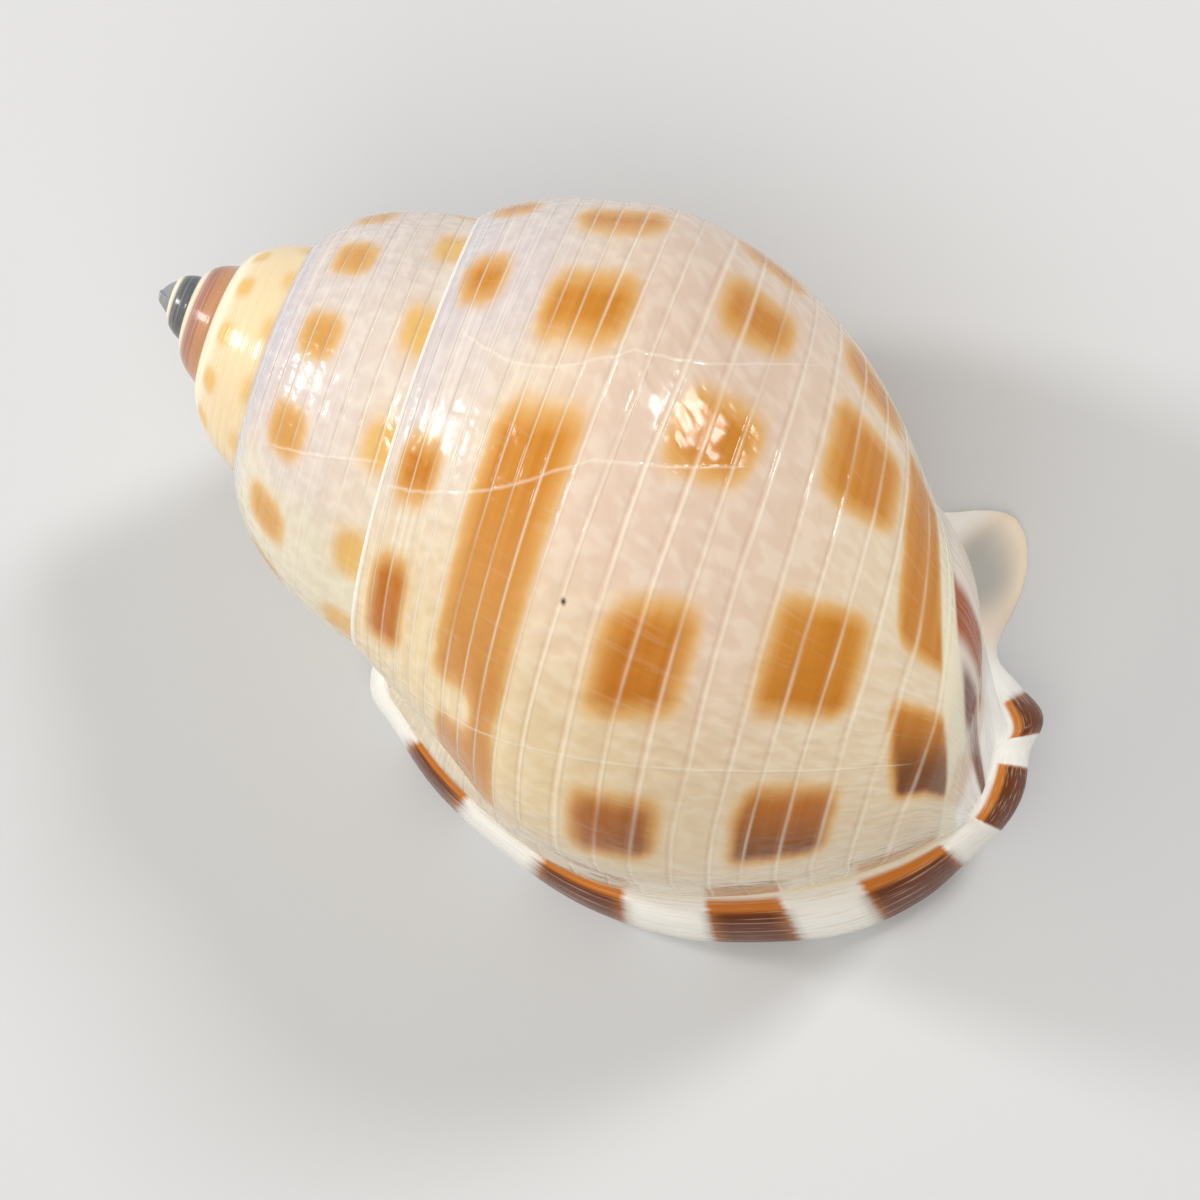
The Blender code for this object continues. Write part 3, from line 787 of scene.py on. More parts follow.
class Shade(Enum):
    """The shell's colours as they look on a screen, red, green and blue from 0 to 255."""

    LILAC = (206, 196, 204)
    ROSE = (219, 191, 174)
    STRAW = (234, 210, 156)
    SAGE = (226, 219, 190)
    AMBER = (198, 148, 104)
    CREST = (250, 243, 212)
    SEAM_BLUE = (192, 196, 214)
    MILK = (246, 235, 216)
    DUN = (210, 178, 150)
    THREAD = (250, 244, 232)
    OCHRE = (206, 136, 48)
    LATE_OCHRE = (184, 104, 14)
    SPIRE_OCHRE = (208, 150, 76)
    SPIRE_GOLD = (224, 178, 84)
    SPIRE_YELLOW = (238, 196, 84)
    BLOTCH_RIM = (224, 174, 94)
    BLOTCH_HEART = (178, 102, 24)
    LATE_BROWN = (100, 50, 2)
    FADED = (224, 176, 108)
    SCAR = (246, 232, 212)
    # Painted shade: the pinkish-brown darkening laid into the fine grooves.
    GROOVE_SHADE = (184, 134, 100)
    # A painted highlight: the pale lit edge along the brim beside each groove.
    BRIM_HIGHLIGHT = (253, 242, 220)
    GROWTH_LINE = (252, 246, 234)
    SEAM = (244, 240, 230)
    PIT = (70, 45, 30)
    CANAL_CREAM = (228, 214, 198)
    CANAL_WHITE = (248, 246, 240)
    CANAL_MAUVE = (112, 58, 40)
    CANAL_BROWN = (164, 78, 2)
    RIDGE = (238, 228, 200)
    ENAMEL = (250, 249, 244)
    ENAMEL_WARM = (243, 240, 230)
    LIP_CREAM = (232, 212, 164)
    SHIELD_BEIGE = (222, 198, 168)
    SHIELD_GREY_AND_SHADE = (166, 164, 158)
    # Partly the shield's own grey tinge, partly painted shade on its back near the groove.
    SHIELD_WHITE = (242, 240, 234)
    SHIELD_BRIM = (244, 222, 176)
    THROAT = (196, 158, 132)
    THROAT_DEEP = (170, 128, 108)
    BAR_ORANGE = (204, 122, 46)
    BAR_BROWN = (106, 54, 26)
    LAMELLA = (226, 204, 182)
    FLOOR = (206, 207, 208)

    def light(self) -> tuple[float, float, float, float]:
        """The colour in linear light with a full alpha, for a socket."""
        return (*tint(*self.value), 1.0)


def operator(operation: str, swapped: bool = False) -> Callable[..., "Wire"]:
    """A method of Wire that adds one Math node.

    Args:
        operation: The Math node's operation.
        swapped: Whether the other value comes first, as in 1 - mask.

    Returns:
        The method.
    """

    def apply(wire: "Wire", *other: "Wire | float") -> "Wire":
        """Add the node and return its output."""
        values = (*other, wire) if swapped else (wire, *other)
        return wire.graph.math(operation, *values)

    return apply


@dataclass(frozen=True)
class Wire:
    """A value in a material's graph that takes part in ordinary arithmetic."""

    graph: "Graph"
    socket: bpy.types.NodeSocket

    __add__, __radd__ = operator("ADD"), operator("ADD", True)
    __sub__, __rsub__ = operator("SUBTRACT"), operator("SUBTRACT", True)
    __mul__, __rmul__ = operator("MULTIPLY"), operator("MULTIPLY", True)
    __truediv__, __pow__ = operator("DIVIDE"), operator("POWER")
    __abs__, fraction = operator("ABSOLUTE"), operator("FRACT")

    def rise(self, low: float, high: float) -> "Wire":
        """Go evenly from 0 at low to 1 at high.

        Args:
            low: Up to here it is 0.
            high: From here on it is 1.

        Returns:
            The eased value.
        """
        settings = {"interpolation_type": "SMOOTHSTEP"}
        values = {"Value": self, "From Min": low, "From Max": high}
        return self.graph.node("ShaderNodeMapRange", settings, values)

    def fall(self, low: float, high: float) -> "Wire":
        """Go evenly from 1 at low to 0 at high."""
        return 1 - self.rise(low, high)

    def window(self, low: float, high: float, soft: float) -> "Wire":
        """1 between low and high, with soft edges."""
        return self.rise(low - soft, low + soft) * self.fall(high - soft, high + soft)

    def near(self, place: float, reach: float) -> "Wire":
        """1 at a place, falling to 0 at a distance."""
        return abs(self - place).fall(0.0, reach)


Input = Wire | Shade | float | tuple


def total(wires: list[Wire]) -> Wire:
    """The sum of several values."""
    return reduce(lambda one, two: one + two, wires)


@dataclass
class Graph:
    """One material's node graph."""

    tree: bpy.types.ShaderNodeTree

    def node(
        self, kind: str, settings: dict | None = None, values: dict | None = None, out: int | str = 0
    ) -> Wire:
        """Add a node.

        Args:
            kind: Blender's node type.
            settings: Properties of the node, set before its sockets.
            values: Sockets by name or number, each a value or a Wire.
            out: The output that is returned.

        Returns:
            The chosen output.
        """
        made = self.tree.nodes.new(kind)
        for name, value in (settings or {}).items():
            if name == "stops":
                self.set_stops(made.color_ramp, value)
            else:
                setattr(made, name, value)
        for name, value in (values or {}).items():
            self.feed(made.inputs[name], value)
        return Wire(self, made.outputs[out])

    def feed(self, socket: bpy.types.NodeSocket, value: Input) -> None:
        """Link a Wire to a socket, or set the socket's own value.

        Args:
            socket: The input.
            value: A Wire, a Shade or a plain value.
        """
        if isinstance(value, Wire):
            self.tree.links.new(value.socket, socket)
        else:
            socket.default_value = value.light() if isinstance(value, Shade) else value

    @staticmethod
    def set_stops(ramp: bpy.types.ColorRamp, stops: list[tuple[float, Triple | float]]) -> None:
        """Give a ramp its stops.

        Args:
            ramp: The ramp.
            stops: Each a place and a colour or a grey.
        """
        while len(ramp.elements) > 1:
            ramp.elements.remove(ramp.elements[-1])
        for k, (place, colour) in enumerate(stops):
            stop = ramp.elements[0] if k == 0 else ramp.elements.new(place)
            stop.position = place
            stop.color = (*((colour,) * 3 if isinstance(colour, float) else colour), 1.0)

    def math(self, operation: str, *values: Wire | float) -> Wire:
        """Add a Math node."""
        return self.node("ShaderNodeMath", {"operation": operation}, dict(enumerate(values)))

    def mix(self, factor: Wire, one: Input, two: Input) -> Wire:
        """Blend two colours."""
        return self.node("ShaderNodeMix", {"data_type": "RGBA"}, {0: factor, 6: one, 7: two}, 2)

    def layers(self, colour: Input, *coats: tuple[Wire, Input]) -> Input:
        """Lay colours over one another.

        Args:
            colour: The lowest colour.
            coats: Each a mask and its colour.

        Returns:
            The colour.
        """
        for mask, coat in coats:
            colour = self.mix(mask, colour, coat)
        return colour

    def marks(self, name: str) -> tuple[Wire, Wire]:
        """The two marks of a face corner, as written in the mesh.

        Args:
            name: Which set of marks.

        Returns:
            The first mark and the second.
        """
        layer = self.node("ShaderNodeUVMap", {"uv_map": name})
        split = self.tree.nodes.new("ShaderNodeSeparateXYZ")
        self.tree.links.new(layer.socket, split.inputs[0])
        return Wire(self, split.outputs[0]), Wire(self, split.outputs[1])

    def place(self) -> Wire:
        """Where a point of the shell is, in metres."""
        return self.node("ShaderNodeTexCoord", out="Object")

    def grain(self, place: Wire, scale: float, detail: float, rough: float = 0.5) -> Wire:
        """Cloudy noise about one half."""
        values = {"Vector": place, "Scale": scale, "Detail": detail, "Roughness": rough}
        return self.node("ShaderNodeTexNoise", None, values)

    def drawn(
        self, x: Wire, y: Wire, seed: float = 0.0, detail: float = 3.0, rough: float = 0.5
    ) -> Wire:
        """Noise drawn out along the marks, by how much each of them is scaled."""
        at = self.node("ShaderNodeCombineXYZ", None, {0: x, 1: y, 2: seed})
        return self.grain(at, 1.0, detail, rough)

    def ramp(self, value: Wire, stops: list[tuple[float, Triple | float]]) -> Wire:
        """A colour read along a row of stops."""
        return self.node("ShaderNodeValToRGB", {"stops": stops}, {"Fac": value})


def soft_steps(spans: list[Pair], soft: float) -> list[tuple[float, float]]:
    """Grey stops that are 1 within each span and 0 between them, with soft edges.

    Args:
        spans: Starts and ends, in order.
        soft: Half the width of an edge.

    Returns:
        The stops.
    """
    stops = [(0.0, 0.0)]
    for start, end in spans:
        stops += [(start - soft, 0.0), (start + soft, 1.0), (end - soft, 1.0), (end + soft, 0.0)]
    return stops


@dataclass(frozen=True)
class Band:
    """One spiral row of blotches on the last whorl."""

    low: float
    high: float
    blotches: tuple[Pair, ...]
    lean: float = 0.0
    soft: float = 0.0135

    def leaned(self, growth: Wire, v: Wire) -> Wire:
        """Growth set back so that the blotches' edges follow the growth lines."""
        return growth + (v - 0.5 * (self.low + self.high)) * self.lean

    def stops(self) -> list[tuple[float, float]]:
        """The row as grey stops along the growth of the last whorl."""
        return soft_steps([(a - START_TURN, b - START_TURN) for a, b in self.blotches], self.soft)


@dataclass(frozen=True)
class Stop:
    """A line left where growth stopped, as turns = offset + slope v + bend v v."""

    offset: float
    slope: float
    bend: float
    span: Pair


class Finish:
    """What every finish of the shell shares."""

    name = "finish"
    constants = {"IOR": 1.48, "Specular IOR Level": 0.24, "Coat Roughness": 0.06}

    def start(self) -> tuple[bpy.types.Material, Graph, bpy.types.Node]:
        """Make the material with its principled shader.

        Returns:
            The material, its graph and its shader.
        """
        material = bpy.data.materials.new(self.name)
        material.use_nodes = True
        tree = material.node_tree
        shader = tree.nodes["Principled BSDF"]
        for name, value in self.constants.items():
            shader.inputs[name].default_value = value
        return material, Graph(tree), shader

    @staticmethod
    def close(
        graph: Graph, shader: bpy.types.Node, colour: Wire, rough: Wire, coat: Wire, height: Wire,
        strength: float, distance: float,
    ) -> None:
        """Feed the shader.

        Args:
            graph: The material's graph.
            shader: The principled shader.
            colour: The colour over the surface.
            rough: The roughness over the surface.
            coat: The weight of the clear coat.
            height: The relief for the bump.
            strength: How strongly the bump shows.
            distance: How high a height of 1 stands, in metres.
        """
        bump = {"Strength": strength, "Distance": distance, "Height": height}
        normal = graph.node("ShaderNodeBump", None, bump)
        sockets = {"Base Color": colour, "Roughness": rough, "Coat Weight": coat, "Normal": normal}
        for name, value in sockets.items():
            graph.feed(shader.inputs[name], value)


@dataclass(frozen=True)
class Site:
    """What the whorls' finish reads at a point: its two marks and its place in space."""

    graph: Graph
    growth: Wire
    v: Wire
    place: Wire


@dataclass(frozen=True)
class WhorlFinish(Finish):
    """Glossy cream porcelain with rows of ochre blotches, fine grooves and growth lines.

    Each band's blotches are spans of growth in turns. Ages are the ground's colours from the
    tip, at 0, to the lip, at 1.
    """

    name: str = "whorl_porcelain"
    first_turn: float = -5.25
    all_turns: float = 5.4
    ages: tuple[tuple[float, Rgb], ...] = (
        (0.0, (150, 152, 155)), (0.06, (98, 102, 108)), (0.14, (84, 90, 96)), (0.24, (98, 96, 98)),
        (0.29, (140, 98, 84)), (0.36, (166, 104, 84)), (0.41, (160, 108, 84)),
        (0.46, (214, 178, 132)), (0.52, (236, 212, 168)), (0.64, (236, 213, 174)),
        (0.72, (220, 204, 190)), (0.80, (232, 214, 182)), (0.88, (228, 208, 182)),
        (0.96, (228, 207, 174)), (1.0, (217, 200, 172)),
    )
    bands: tuple[Band, ...] = (
        Band(0.040, 0.120, (
            (-0.76, -0.72), (-0.66, -0.625), (-0.56, -0.525), (-0.45, -0.42), (-0.36, -0.324),
            (-0.235, -0.195), (-0.152, -0.078),
        )),
        Band(0.205, 0.35, (
            (-0.79, -0.75), (-0.70, -0.66), (-0.61, -0.57), (-0.52, -0.485), (-0.43, -0.400),
            (-0.356, -0.315), (-0.272, -0.092),
        ), 0.06),
        Band(0.460, 0.558, (
            (-0.77, -0.73), (-0.68, -0.635), (-0.59, -0.55), (-0.51, -0.475), (-0.433, -0.392),
            (-0.343, -0.294), (-0.212, -0.134),
        ), 0.22),
        Band(0.645, 0.765, (
            (-0.80, -0.75), (-0.70, -0.65), (-0.60, -0.56), (-0.53, -0.475), (-0.44, -0.36),
            (-0.276, -0.180),
        ), 0.20),
    )
    ridge_band: Band = Band(
        0.800, 0.872, ((-0.82, -0.74), (-0.68, -0.58), (-0.50, -0.29), (-0.225, -0.09))
    )
    late_bands: tuple[Band, ...] = (
        Band(0.22, 0.355, ((-0.05, 0.035),)),
        Band(0.300, 0.345, ((-0.10, -0.045),)),
        Band(0.465, 0.565, ((-0.064, 0.004),), 0.15),
        Band(0.66, 0.790, ((-0.104, -0.006),), 0.08),
    )
    stops: tuple[Stop, ...] = (
        Stop(-0.3224, 0.3209, -0.8204, (0.08, 0.60)),
        Stop(-0.1955, -0.0162, -0.3773, (0.02, 0.55)),
        Stop(-0.0139, -0.1698, 0.0234, (0.02, 0.86)),
        Stop(-1.150, -0.16, 0.0, (0.14, 0.36)),
    )
    row_soft: float = 0.026
    ridge_soft: float = 0.012
    late_soft: Pair = (0.024, 0.021)
    groove_count: float = 21.0
    groove_crowding: float = 0.85
    spots_per_turn: float = 12.5
    smooth_zone: Pair = (-1.185, -0.86)
    scar_width: float = 0.002
    pit: Pair = (-0.183, 0.405)

    def ground(self, site: Site, cloud: Wire) -> Wire:
        """The colour between the blotches, which ages from slate at the tip to cream.

        Args:
            site: The point.
            cloud: Broad noise.

        Returns:
            The colour.
        """
        growth, v = site.growth, site.v
        age = (growth - self.first_turn) / self.all_turns
        body = site.graph.ramp(age, [(at, tint(*rgb)) for at, rgb in self.ages])
        lilac = v.fall(0.05, 0.42) * growth.window(-1.5, -0.22, 0.12) * cloud.rise(0.3, 0.6)
        rose = v.window(0.28, 0.66, 0.12) * growth.window(-0.6, -0.12, 0.12)
        straw = growth.window(-0.16, 0.02, 0.08) * v.fall(0.4, 0.7)
        outer = v.rise(0.34, 0.46) * growth.window(-1.9, -1.15, 0.02)
        sage = growth.window(-1.15, -0.90, 0.02) + outer * 0.7
        amber = v.rise(0.20, 0.32) * growth.window(-3.7, -2.9, 0.1)
        crest = v.fall(0.08, 0.17) * growth.window(-4.6, -1.9, 0.1)
        seam = v.fall(0.03, 0.085) * growth.window(-1.5, -0.3, 0.2)
        return site.graph.layers(
            body, (lilac * 0.85, Shade.LILAC), (rose * 0.7, Shade.ROSE), (straw * 0.5, Shade.STRAW),
            (sage * 0.7, Shade.SAGE), (amber * 0.75, Shade.AMBER), (crest * 0.9, Shade.CREST),
            (seam * 0.5, Shade.SEAM_BLUE),
        )

    def blotches(self, site: Site) -> Wire:
        """Where the ochre lies, from 0 to 1.

        Args:
            site: The point.

        Returns:
            The mask.
        """
        graph = site.graph
        wobble = graph.grain(site.place, 260.0, 3.0) - 0.5
        drift = graph.grain(site.place, 90.0, 2.0) - 0.5
        at = site.growth + wobble * 0.010 + drift * 0.012
        down = site.v + wobble * 0.016 + drift * 0.02
        rows = [(band, down, self.row_soft) for band in self.bands]
        rows.append((self.ridge_band, down - self.ridge_drift(site.growth), self.ridge_soft))
        masks = []
        for band, level, soft in rows:
            along = graph.ramp(band.leaned(at, down) - START_TURN, band.stops())
            masks.append(along * level.window(band.low, band.high, soft))
        for band in self.late_bands:
            along = band.leaned(at, down).window(*band.blotches[0], self.late_soft[0])
            masks.append(along * down.window(band.low, band.high, self.late_soft[1]))
        return total(masks + [self.spots(at, down)])

    def spots(self, at: Wire, down: Wire) -> Wire:
        """The two rows of spots on the spire, the lower one paler and some way ahead.

        Args:
            at: Growth, made uneven by noise.
            down: Place across, the same.

        Returns:
            The mask.
        """
        step = (at * self.spots_per_turn + 0.34 + 0.36 * down.rise(0.22, 0.30)).fraction()
        rows = down.window(0.12, 0.21, 0.03) * 0.85 + down.window(0.325, 0.41, 0.03) * 0.62
        early = 0.62 + 0.38 * at.rise(-2.0, -1.6)
        return step.window(0.20, 0.68, 0.19) * at.window(-2.7, -0.87, 0.01) * rows * early

    def coloured(self, site: Site, ground: Wire, mask: Wire) -> Wire:
        """The ground with its blotches, which darken near the lip and yellow up the spire.

        Args:
            site: The point.
            ground: The colour between the blotches.
            mask: Where the blotches lie.

        Returns:
            The colour.
        """
        graph, growth, v = site.graph, site.growth, site.v
        last = growth.rise(-0.95, -0.86)
        spire = graph.mix(v.rise(0.2, 0.32), Shade.SPIRE_OCHRE, Shade.SPIRE_GOLD)
        spire = graph.mix(growth.fall(-1.9, -1.7), spire, Shade.SPIRE_YELLOW)
        ochre = graph.mix(growth.rise(-0.30, -0.05), Shade.OCHRE, Shade.LATE_OCHRE)
        late = growth.rise(-0.10, 0.0) * v.rise(0.4, 0.62)
        late = late + growth.rise(-0.22, -0.12) * v.rise(0.76, 0.84)
        faded = v.window(0.19, 0.37, 0.02) * growth.rise(-0.27, -0.14)
        return graph.layers(
            ground, (mask.rise(0.0, 0.6) * 0.8, Shade.BLOTCH_RIM),
            (mask.rise(0.2, 1.1), graph.mix(1 - last, ochre, spire)),
            (mask.rise(0.85, 1.2) * last * 0.5, Shade.BLOTCH_HEART),
            (mask.rise(0.5, 1.05) * late * 0.85, Shade.LATE_BROWN),
            (mask.rise(0.3, 0.9) * faded * 0.42, Shade.FADED),
        )

    def grooves(self, site: Site) -> tuple[Wire, Wire, Wire]:
        """Fine spiral grooves, closer together near the seam.

        Args:
            site: The point.

        Returns:
            A mask that is 1 in a groove, one for the brim beside it, which is painted pale as a
            highlight, and the rounded height of the cords between grooves.
        """
        wander = (site.graph.drawn(site.growth * 2.6, site.v * 9.0, detail=2.0) - 0.5) * 0.55
        phase = ((site.v / RIDGE) ** self.groove_crowding * self.groove_count + wander).fraction()
        off = abs(phase - 0.5)
        return off.fall(0.0, 0.085), phase.near(0.62, 0.1), off * (1 - off) * 4.0

    def scars(self, site: Site) -> Wire:
        """Thin lines where growth stopped for a while.

        Args:
            site: The point.

        Returns:
            The mask.
        """
        v = site.v
        at = site.growth + (site.graph.drawn(site.growth * 2.0, v * 22.0, 2.0) - 0.5) * 0.0035
        lines = []
        for stop in self.stops:
            offset = at - stop.offset - v * stop.slope - v * v * stop.bend
            lines.append(offset.near(0.0, self.scar_width) * v.window(*stop.span, 0.02))
        return total(lines)

    def base_colour(self, site: Site, colour: Wire) -> Wire:
        """The white ridge at the base, and the cream and brown of the groove behind it.

        Args:
            site: The point.
            colour: The colour so far.

        Returns:
            The colour.
        """
        graph, growth, v = site.graph, site.growth, site.v
        level = v - self.ridge_drift(growth)
        patch = v.window(0.905, 1.02, 0.008) * growth.window(-0.325, -0.245, 0.02)
        wedge = v.window(0.80, 0.950, 0.006) * growth.window(-0.445, -0.355, 0.02)
        inner = graph.layers(
            Shade.CANAL_CREAM, (v.rise(0.955, 0.975), Shade.CANAL_WHITE),
            (patch * 0.95, Shade.CANAL_MAUVE), (wedge, Shade.CANAL_BROWN),
        )
        behind = level.rise(0.890, 0.898) * v.rise(0.885, 0.892)
        ridge = level.window(0.872, 0.903, 0.004) * 0.9
        return graph.layers(colour, (behind, inner), (ridge, Shade.RIDGE))

    def ridge_drift(self, growth: Wire) -> Wire:
        """How far the ridge's colours move towards the canal as the whorl nears the lip."""
        return growth.rise(-0.45, 0.05) * 0.09 - 0.015

    def dress(self) -> bpy.types.Material:
        """Make the material.

        Returns:
            The material.
        """
        material, graph, shader = self.start()
        growth, v = graph.marks(GROWTH_UV)
        site = Site(graph, growth, v, graph.place())
        cloud = graph.grain(site.place, 70.0, 3.0)
        fine = graph.drawn(growth * 170.0, v * 7.0, 0.0, 4.0, 0.62)
        streak = graph.drawn(growth * 5.0, v * 62.0, 4.0)
        ripple = graph.drawn(growth * 82.0, v * 30.0, 9.0, 1.0)
        striae = graph.drawn(growth * 2.0, v * 150.0, 5.0, 3.0, 0.6)
        faint = graph.drawn(growth * 9.0, v * 34.0, 6.0, 2.0).rise(0.34, 0.6)
        groove, brim, cord = self.grooves(site)
        scar = self.scars(site)
        cut = growth.rise(-2.6, -1.4) * v.fall(0.885, 0.9)
        cut = cut * (1 - growth.window(*self.smooth_zone, 0.012) * 0.85)
        reach = cut * (0.3 + 0.7 * faint)
        worn = growth.rise(-1.9, -1.3)
        ground = graph.layers(
            self.ground(site, cloud),
            (ripple.rise(0.46, 0.62) * worn * 0.20, Shade.MILK),
            (ripple.fall(0.34, 0.5) * worn * 0.12, Shade.DUN),
            (striae.rise(0.48, 0.66) * v.fall(0.15, 0.4) * 0.3, Shade.THREAD),
        )
        mask = self.blotches(site) * (0.80 + 0.4 * streak)
        colour = graph.layers(
            self.coloured(site, ground, mask), (scar * 0.36, Shade.SCAR),
            # Painted shade: the grooves are tinted darker, as if in shadow.
            (groove * reach * v.rise(0.12, 0.3) * 0.22, Shade.GROOVE_SHADE),
            # Painted highlight: the brim beside each groove is lightened, as if catching the light.
            (brim * reach * 0.42, Shade.BRIM_HIGHLIGHT), (fine.rise(0.56, 0.68) * 0.05, Shade.GROWTH_LINE),
            (v.fall(0.002, 0.014), Shade.SEAM),
        )
        colour = self.base_colour(site, colour)
        pit = growth.near(self.pit[0], 0.0035) * v.near(self.pit[1], 0.006)
        lines = (0.45 * cord + 0.45 * brim - 0.08 * groove) * cut
        lines = lines + 0.12 * striae * v.fall(0.2, 0.5) * growth.rise(-4.2, -3.4)
        height = lines + (1.4 * ripple + 0.14 * fine) * worn + 0.15 * cloud + 0.22 * scar
        colour = graph.mix(pit, colour, Shade.PIT)
        rough, coat = 0.13 + 0.08 * ripple, 0.04 + 0.1 * cloud
        self.close(graph, shader, colour, rough, coat, height, 1.0, 0.0001)
        return material


@dataclass(frozen=True)
class EnamelFinish(Finish):
    """White enamel of the rolled lip with brown bars, of the shield and of the throat."""

    name: str = "lip_enamel"
    bars: tuple[Pair, ...] = (
        (0.235, 0.33), (0.44, 0.545), (0.65, 0.742), (0.845, 0.985), (1.22, 1.66), (1.87, 2.06),
    )
    barred: float = 2.2

    def bar_mask(self, graph: Graph, along: Wire, across: Wire, ragged: Wire, soft: float) -> Wire:
        """Where a bar crosses the lip, its ends ragged by a noise.

        Args:
            graph: The material's graph.
            along: Place along the rim.
            across: Place across the rim.
            ragged: Noise about 0.
            soft: Half the width of an end.

        Returns:
            The mask.
        """
        spans = [(start / self.barred, end / self.barred) for start, end in self.bars]
        bars = graph.ramp((along + ragged * 0.014) / self.barred, soft_steps(spans, soft))
        return bars * across.rise(0.18, 0.42) * across.fall(2.5, 4.0) * along.fall(2.08, 2.14)

    def enamel(self, graph: Graph, along: Wire, across: Wire, cloud: Wire) -> Wire:
        """The colour without the bars: white lip, cream groove, beige shield and brown throat.

        Args:
            graph: The material's graph.
            along: Place along the rim.
            across: Place across the rim, from its groove to the deepest ring.
            cloud: Broad noise.

        Returns:
            The colour.
        """
        cream = across.fall(0.1, 0.3) * along.fall(0.95, 1.1)
        shield = along.window(2.2, 2.9, 0.06) * across.fall(4.6, 5.6)
        edge = shield * across.fall(1.7, 3.4)
        # Grey on the shield's back near its groove: partly its own tinge, partly painted shade.
        grey = shield * across.window(-0.2, 0.85, 0.4) * along.window(2.29, 2.44, 0.05)
        return graph.layers(
            graph.mix(cloud, Shade.ENAMEL, Shade.ENAMEL_WARM), (cream * 0.75, Shade.LIP_CREAM),
            (edge * 0.75, Shade.SHIELD_BEIGE), (grey * 0.9, Shade.SHIELD_GREY_AND_SHADE),
            (edge * along.rise(2.41, 2.47) * 0.8, Shade.SHIELD_WHITE),
            (shield * across.near(2.0, 0.35) * 0.8, Shade.SHIELD_BRIM),
            (across.rise(5.2, 9.0) * 0.85, graph.mix(cloud, Shade.THROAT, Shade.THROAT_DEEP)),
        )

    def dress(self) -> bpy.types.Material:
        """Make the material.

        Returns:
            The material.
        """
        material, graph, shader = self.start()
        along, across = graph.marks(RIM_UV)
        cloud = graph.grain(graph.place(), 110.0, 3.0)
        lamella = graph.drawn(along * 7.0, across * 13.0, 0.0, 3.0, 0.6)
        ragged = graph.drawn(along * 20.0, across * 9.0, 3.0) - 0.5
        wide, core = (self.bar_mask(graph, along, across, ragged, soft) for soft in (0.0015, 0.007))
        outer = across.fall(3.0, 4.0) * along.fall(2.05, 2.15)
        colour = graph.layers(
            self.enamel(graph, along, across, cloud), (wide, Shade.BAR_ORANGE),
            (core * across.rise(0.62, 0.85), Shade.BAR_BROWN),
            (lamella.rise(0.54, 0.66) * outer * 0.36, Shade.LAMELLA),
        )
        height = 0.8 * lamella * outer + 0.3 * cloud
        rough, coat = 0.14 + 0.12 * lamella, 0.10 + 0.1 * cloud
        self.close(graph, shader, colour, rough, coat, height, 0.45, 0.0003)
        return material


@dataclass
class Shell:
    """The whole shell, built and finished."""

    skin: ShellSkin = field(default_factory=ShellSkin)
    whorl_finish: WhorlFinish = WhorlFinish()
    enamel_finish: EnamelFinish = EnamelFinish()

    def build(self) -> bpy.types.Object:
        """Make the mesh, dress it and put it in the solid's place.

        Returns:
            The object.
        """
        shell = self.skin.build()
        for finish in (self.whorl_finish, self.enamel_finish):
            shell.data.materials.append(finish.dress())
        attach(shell, "root")
        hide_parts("shell")
        return shell


@dataclass(frozen=True)
class Lamp:
    """A soft rectangular lamp; a fill is warm and isn't seen in the gloss. Metres and watts."""

    name: str
    place: Triple
    size: Pair
    power: float
    fill: bool = False
    aim: Triple = (0.0, 0.0, 0.015)
    warm: Triple = (1.0, 0.95, 0.88)

    def build(self) -> None:
        """Hang the lamp, looking at the shell."""
        light = bpy.data.lights.new(self.name, "AREA")
        light.shape = "RECTANGLE"
        light.size, light.size_y = self.size
        light.energy = self.power
        lamp = link(self.name, light)
        lamp.location = self.place
        aim = Vector(self.aim) - Vector(self.place)
        lamp.rotation_euler = aim.to_track_quat("-Z", "Y").to_euler()
        if self.fill:
            light.color = self.warm
            lamp.visible_glossy = False


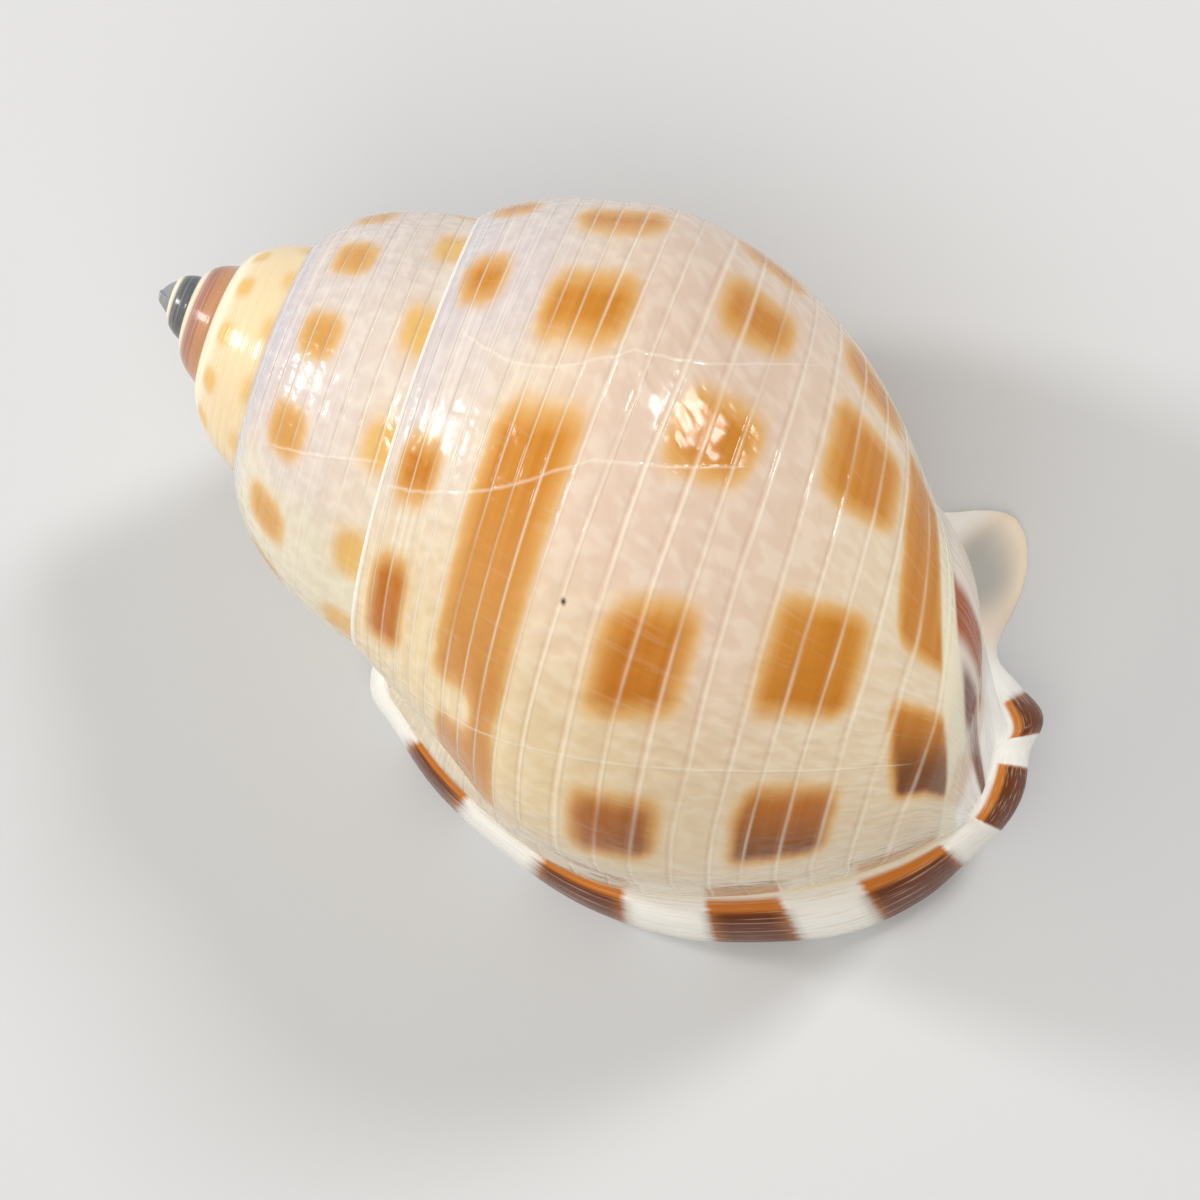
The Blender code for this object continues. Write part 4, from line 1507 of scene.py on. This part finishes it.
@dataclass(frozen=True)
class Studio:
    """Floor, soft lights and camera, in metres."""

    floor_size: float = 3.0
    floor_drop: float = 0.00002
    floor_rough: float = 0.85
    sky_colour: tuple[float, ...] = (0.95, 0.97, 1.0, 1.0)
    sky_strength: float = 0.22
    lamps: tuple[Lamp, ...] = (
        Lamp("window_above", (0.15, 0.42, 0.40), (0.10, 0.14), 1.7),
        Lamp("window_left", (-0.50, -0.05, 0.30), (0.09, 0.16), 1.5),
        Lamp("fill_right", (0.25, -0.35, 0.65), (0.8, 0.8), 3.7, True),
        Lamp("fill_left", (-0.55, -0.35, 0.40), (0.8, 0.8), 1.6, True),
    )
    lens: float = 99.85
    sensor: float = 36.0
    nearest: float = 0.01
    eye: Triple = (0.05055, -0.00257, 0.20498)
    right: Triple = (0.8684, 0.4454, -0.2179)
    up: Triple = (-0.4320, 0.8953, 0.1084)
    back: Triple = (0.2434, 0.0, 0.9699)

    def floor(self) -> None:
        """A plain pale table top."""
        half = self.floor_size / 2
        corners = [(-half, -half, 0), (half, -half, 0), (half, half, 0), (-half, half, 0)]
        mesh = bpy.data.meshes.new("floor")
        mesh.from_pydata(corners, [], [(0, 1, 2, 3)])
        material = bpy.data.materials.new("floor_paper")
        material.use_nodes = True
        shader = material.node_tree.nodes["Principled BSDF"]
        shader.inputs["Base Color"].default_value = Shade.FLOOR.light()
        shader.inputs["Roughness"].default_value = self.floor_rough
        mesh.materials.append(material)
        floor = link("floor", mesh)
        floor.location.z = -self.floor_drop

    def sky(self) -> None:
        """An even pale surround, with colours shown as they are."""
        world = bpy.data.worlds.new("surround")
        world.use_nodes = True
        background = world.node_tree.nodes["Background"]
        background.inputs["Color"].default_value = self.sky_colour
        background.inputs["Strength"].default_value = self.sky_strength
        bpy.context.scene.world = world
        bpy.context.scene.view_settings.view_transform = "Standard"

    def camera(self) -> None:
        """The camera at the photograph's viewing angle."""
        data = bpy.data.cameras.new("camera")
        data.lens = self.lens
        data.sensor_width = self.sensor
        data.clip_start = self.nearest
        camera = link("camera", data)
        turn = Matrix((self.right, self.up, self.back)).transposed().to_4x4()
        camera.matrix_world = Matrix.Translation(self.eye) @ turn
        bpy.context.scene.camera = camera

    def build(self) -> None:
        """Set up everything round the shell."""
        self.floor()
        self.sky()
        for lamp in self.lamps:
            lamp.build()
        self.camera()


def main() -> None:
    """Build the scene and report each piece."""
    logging.basicConfig(level=logging.INFO, format="%(message)s")
    shell = Shell().build()
    LOG.info("shell: %d faces", len(shell.data.polygons))
    Studio().build()
    LOG.info("studio: floor, four lamps and the camera")


if __name__ == "__main__":
    main()
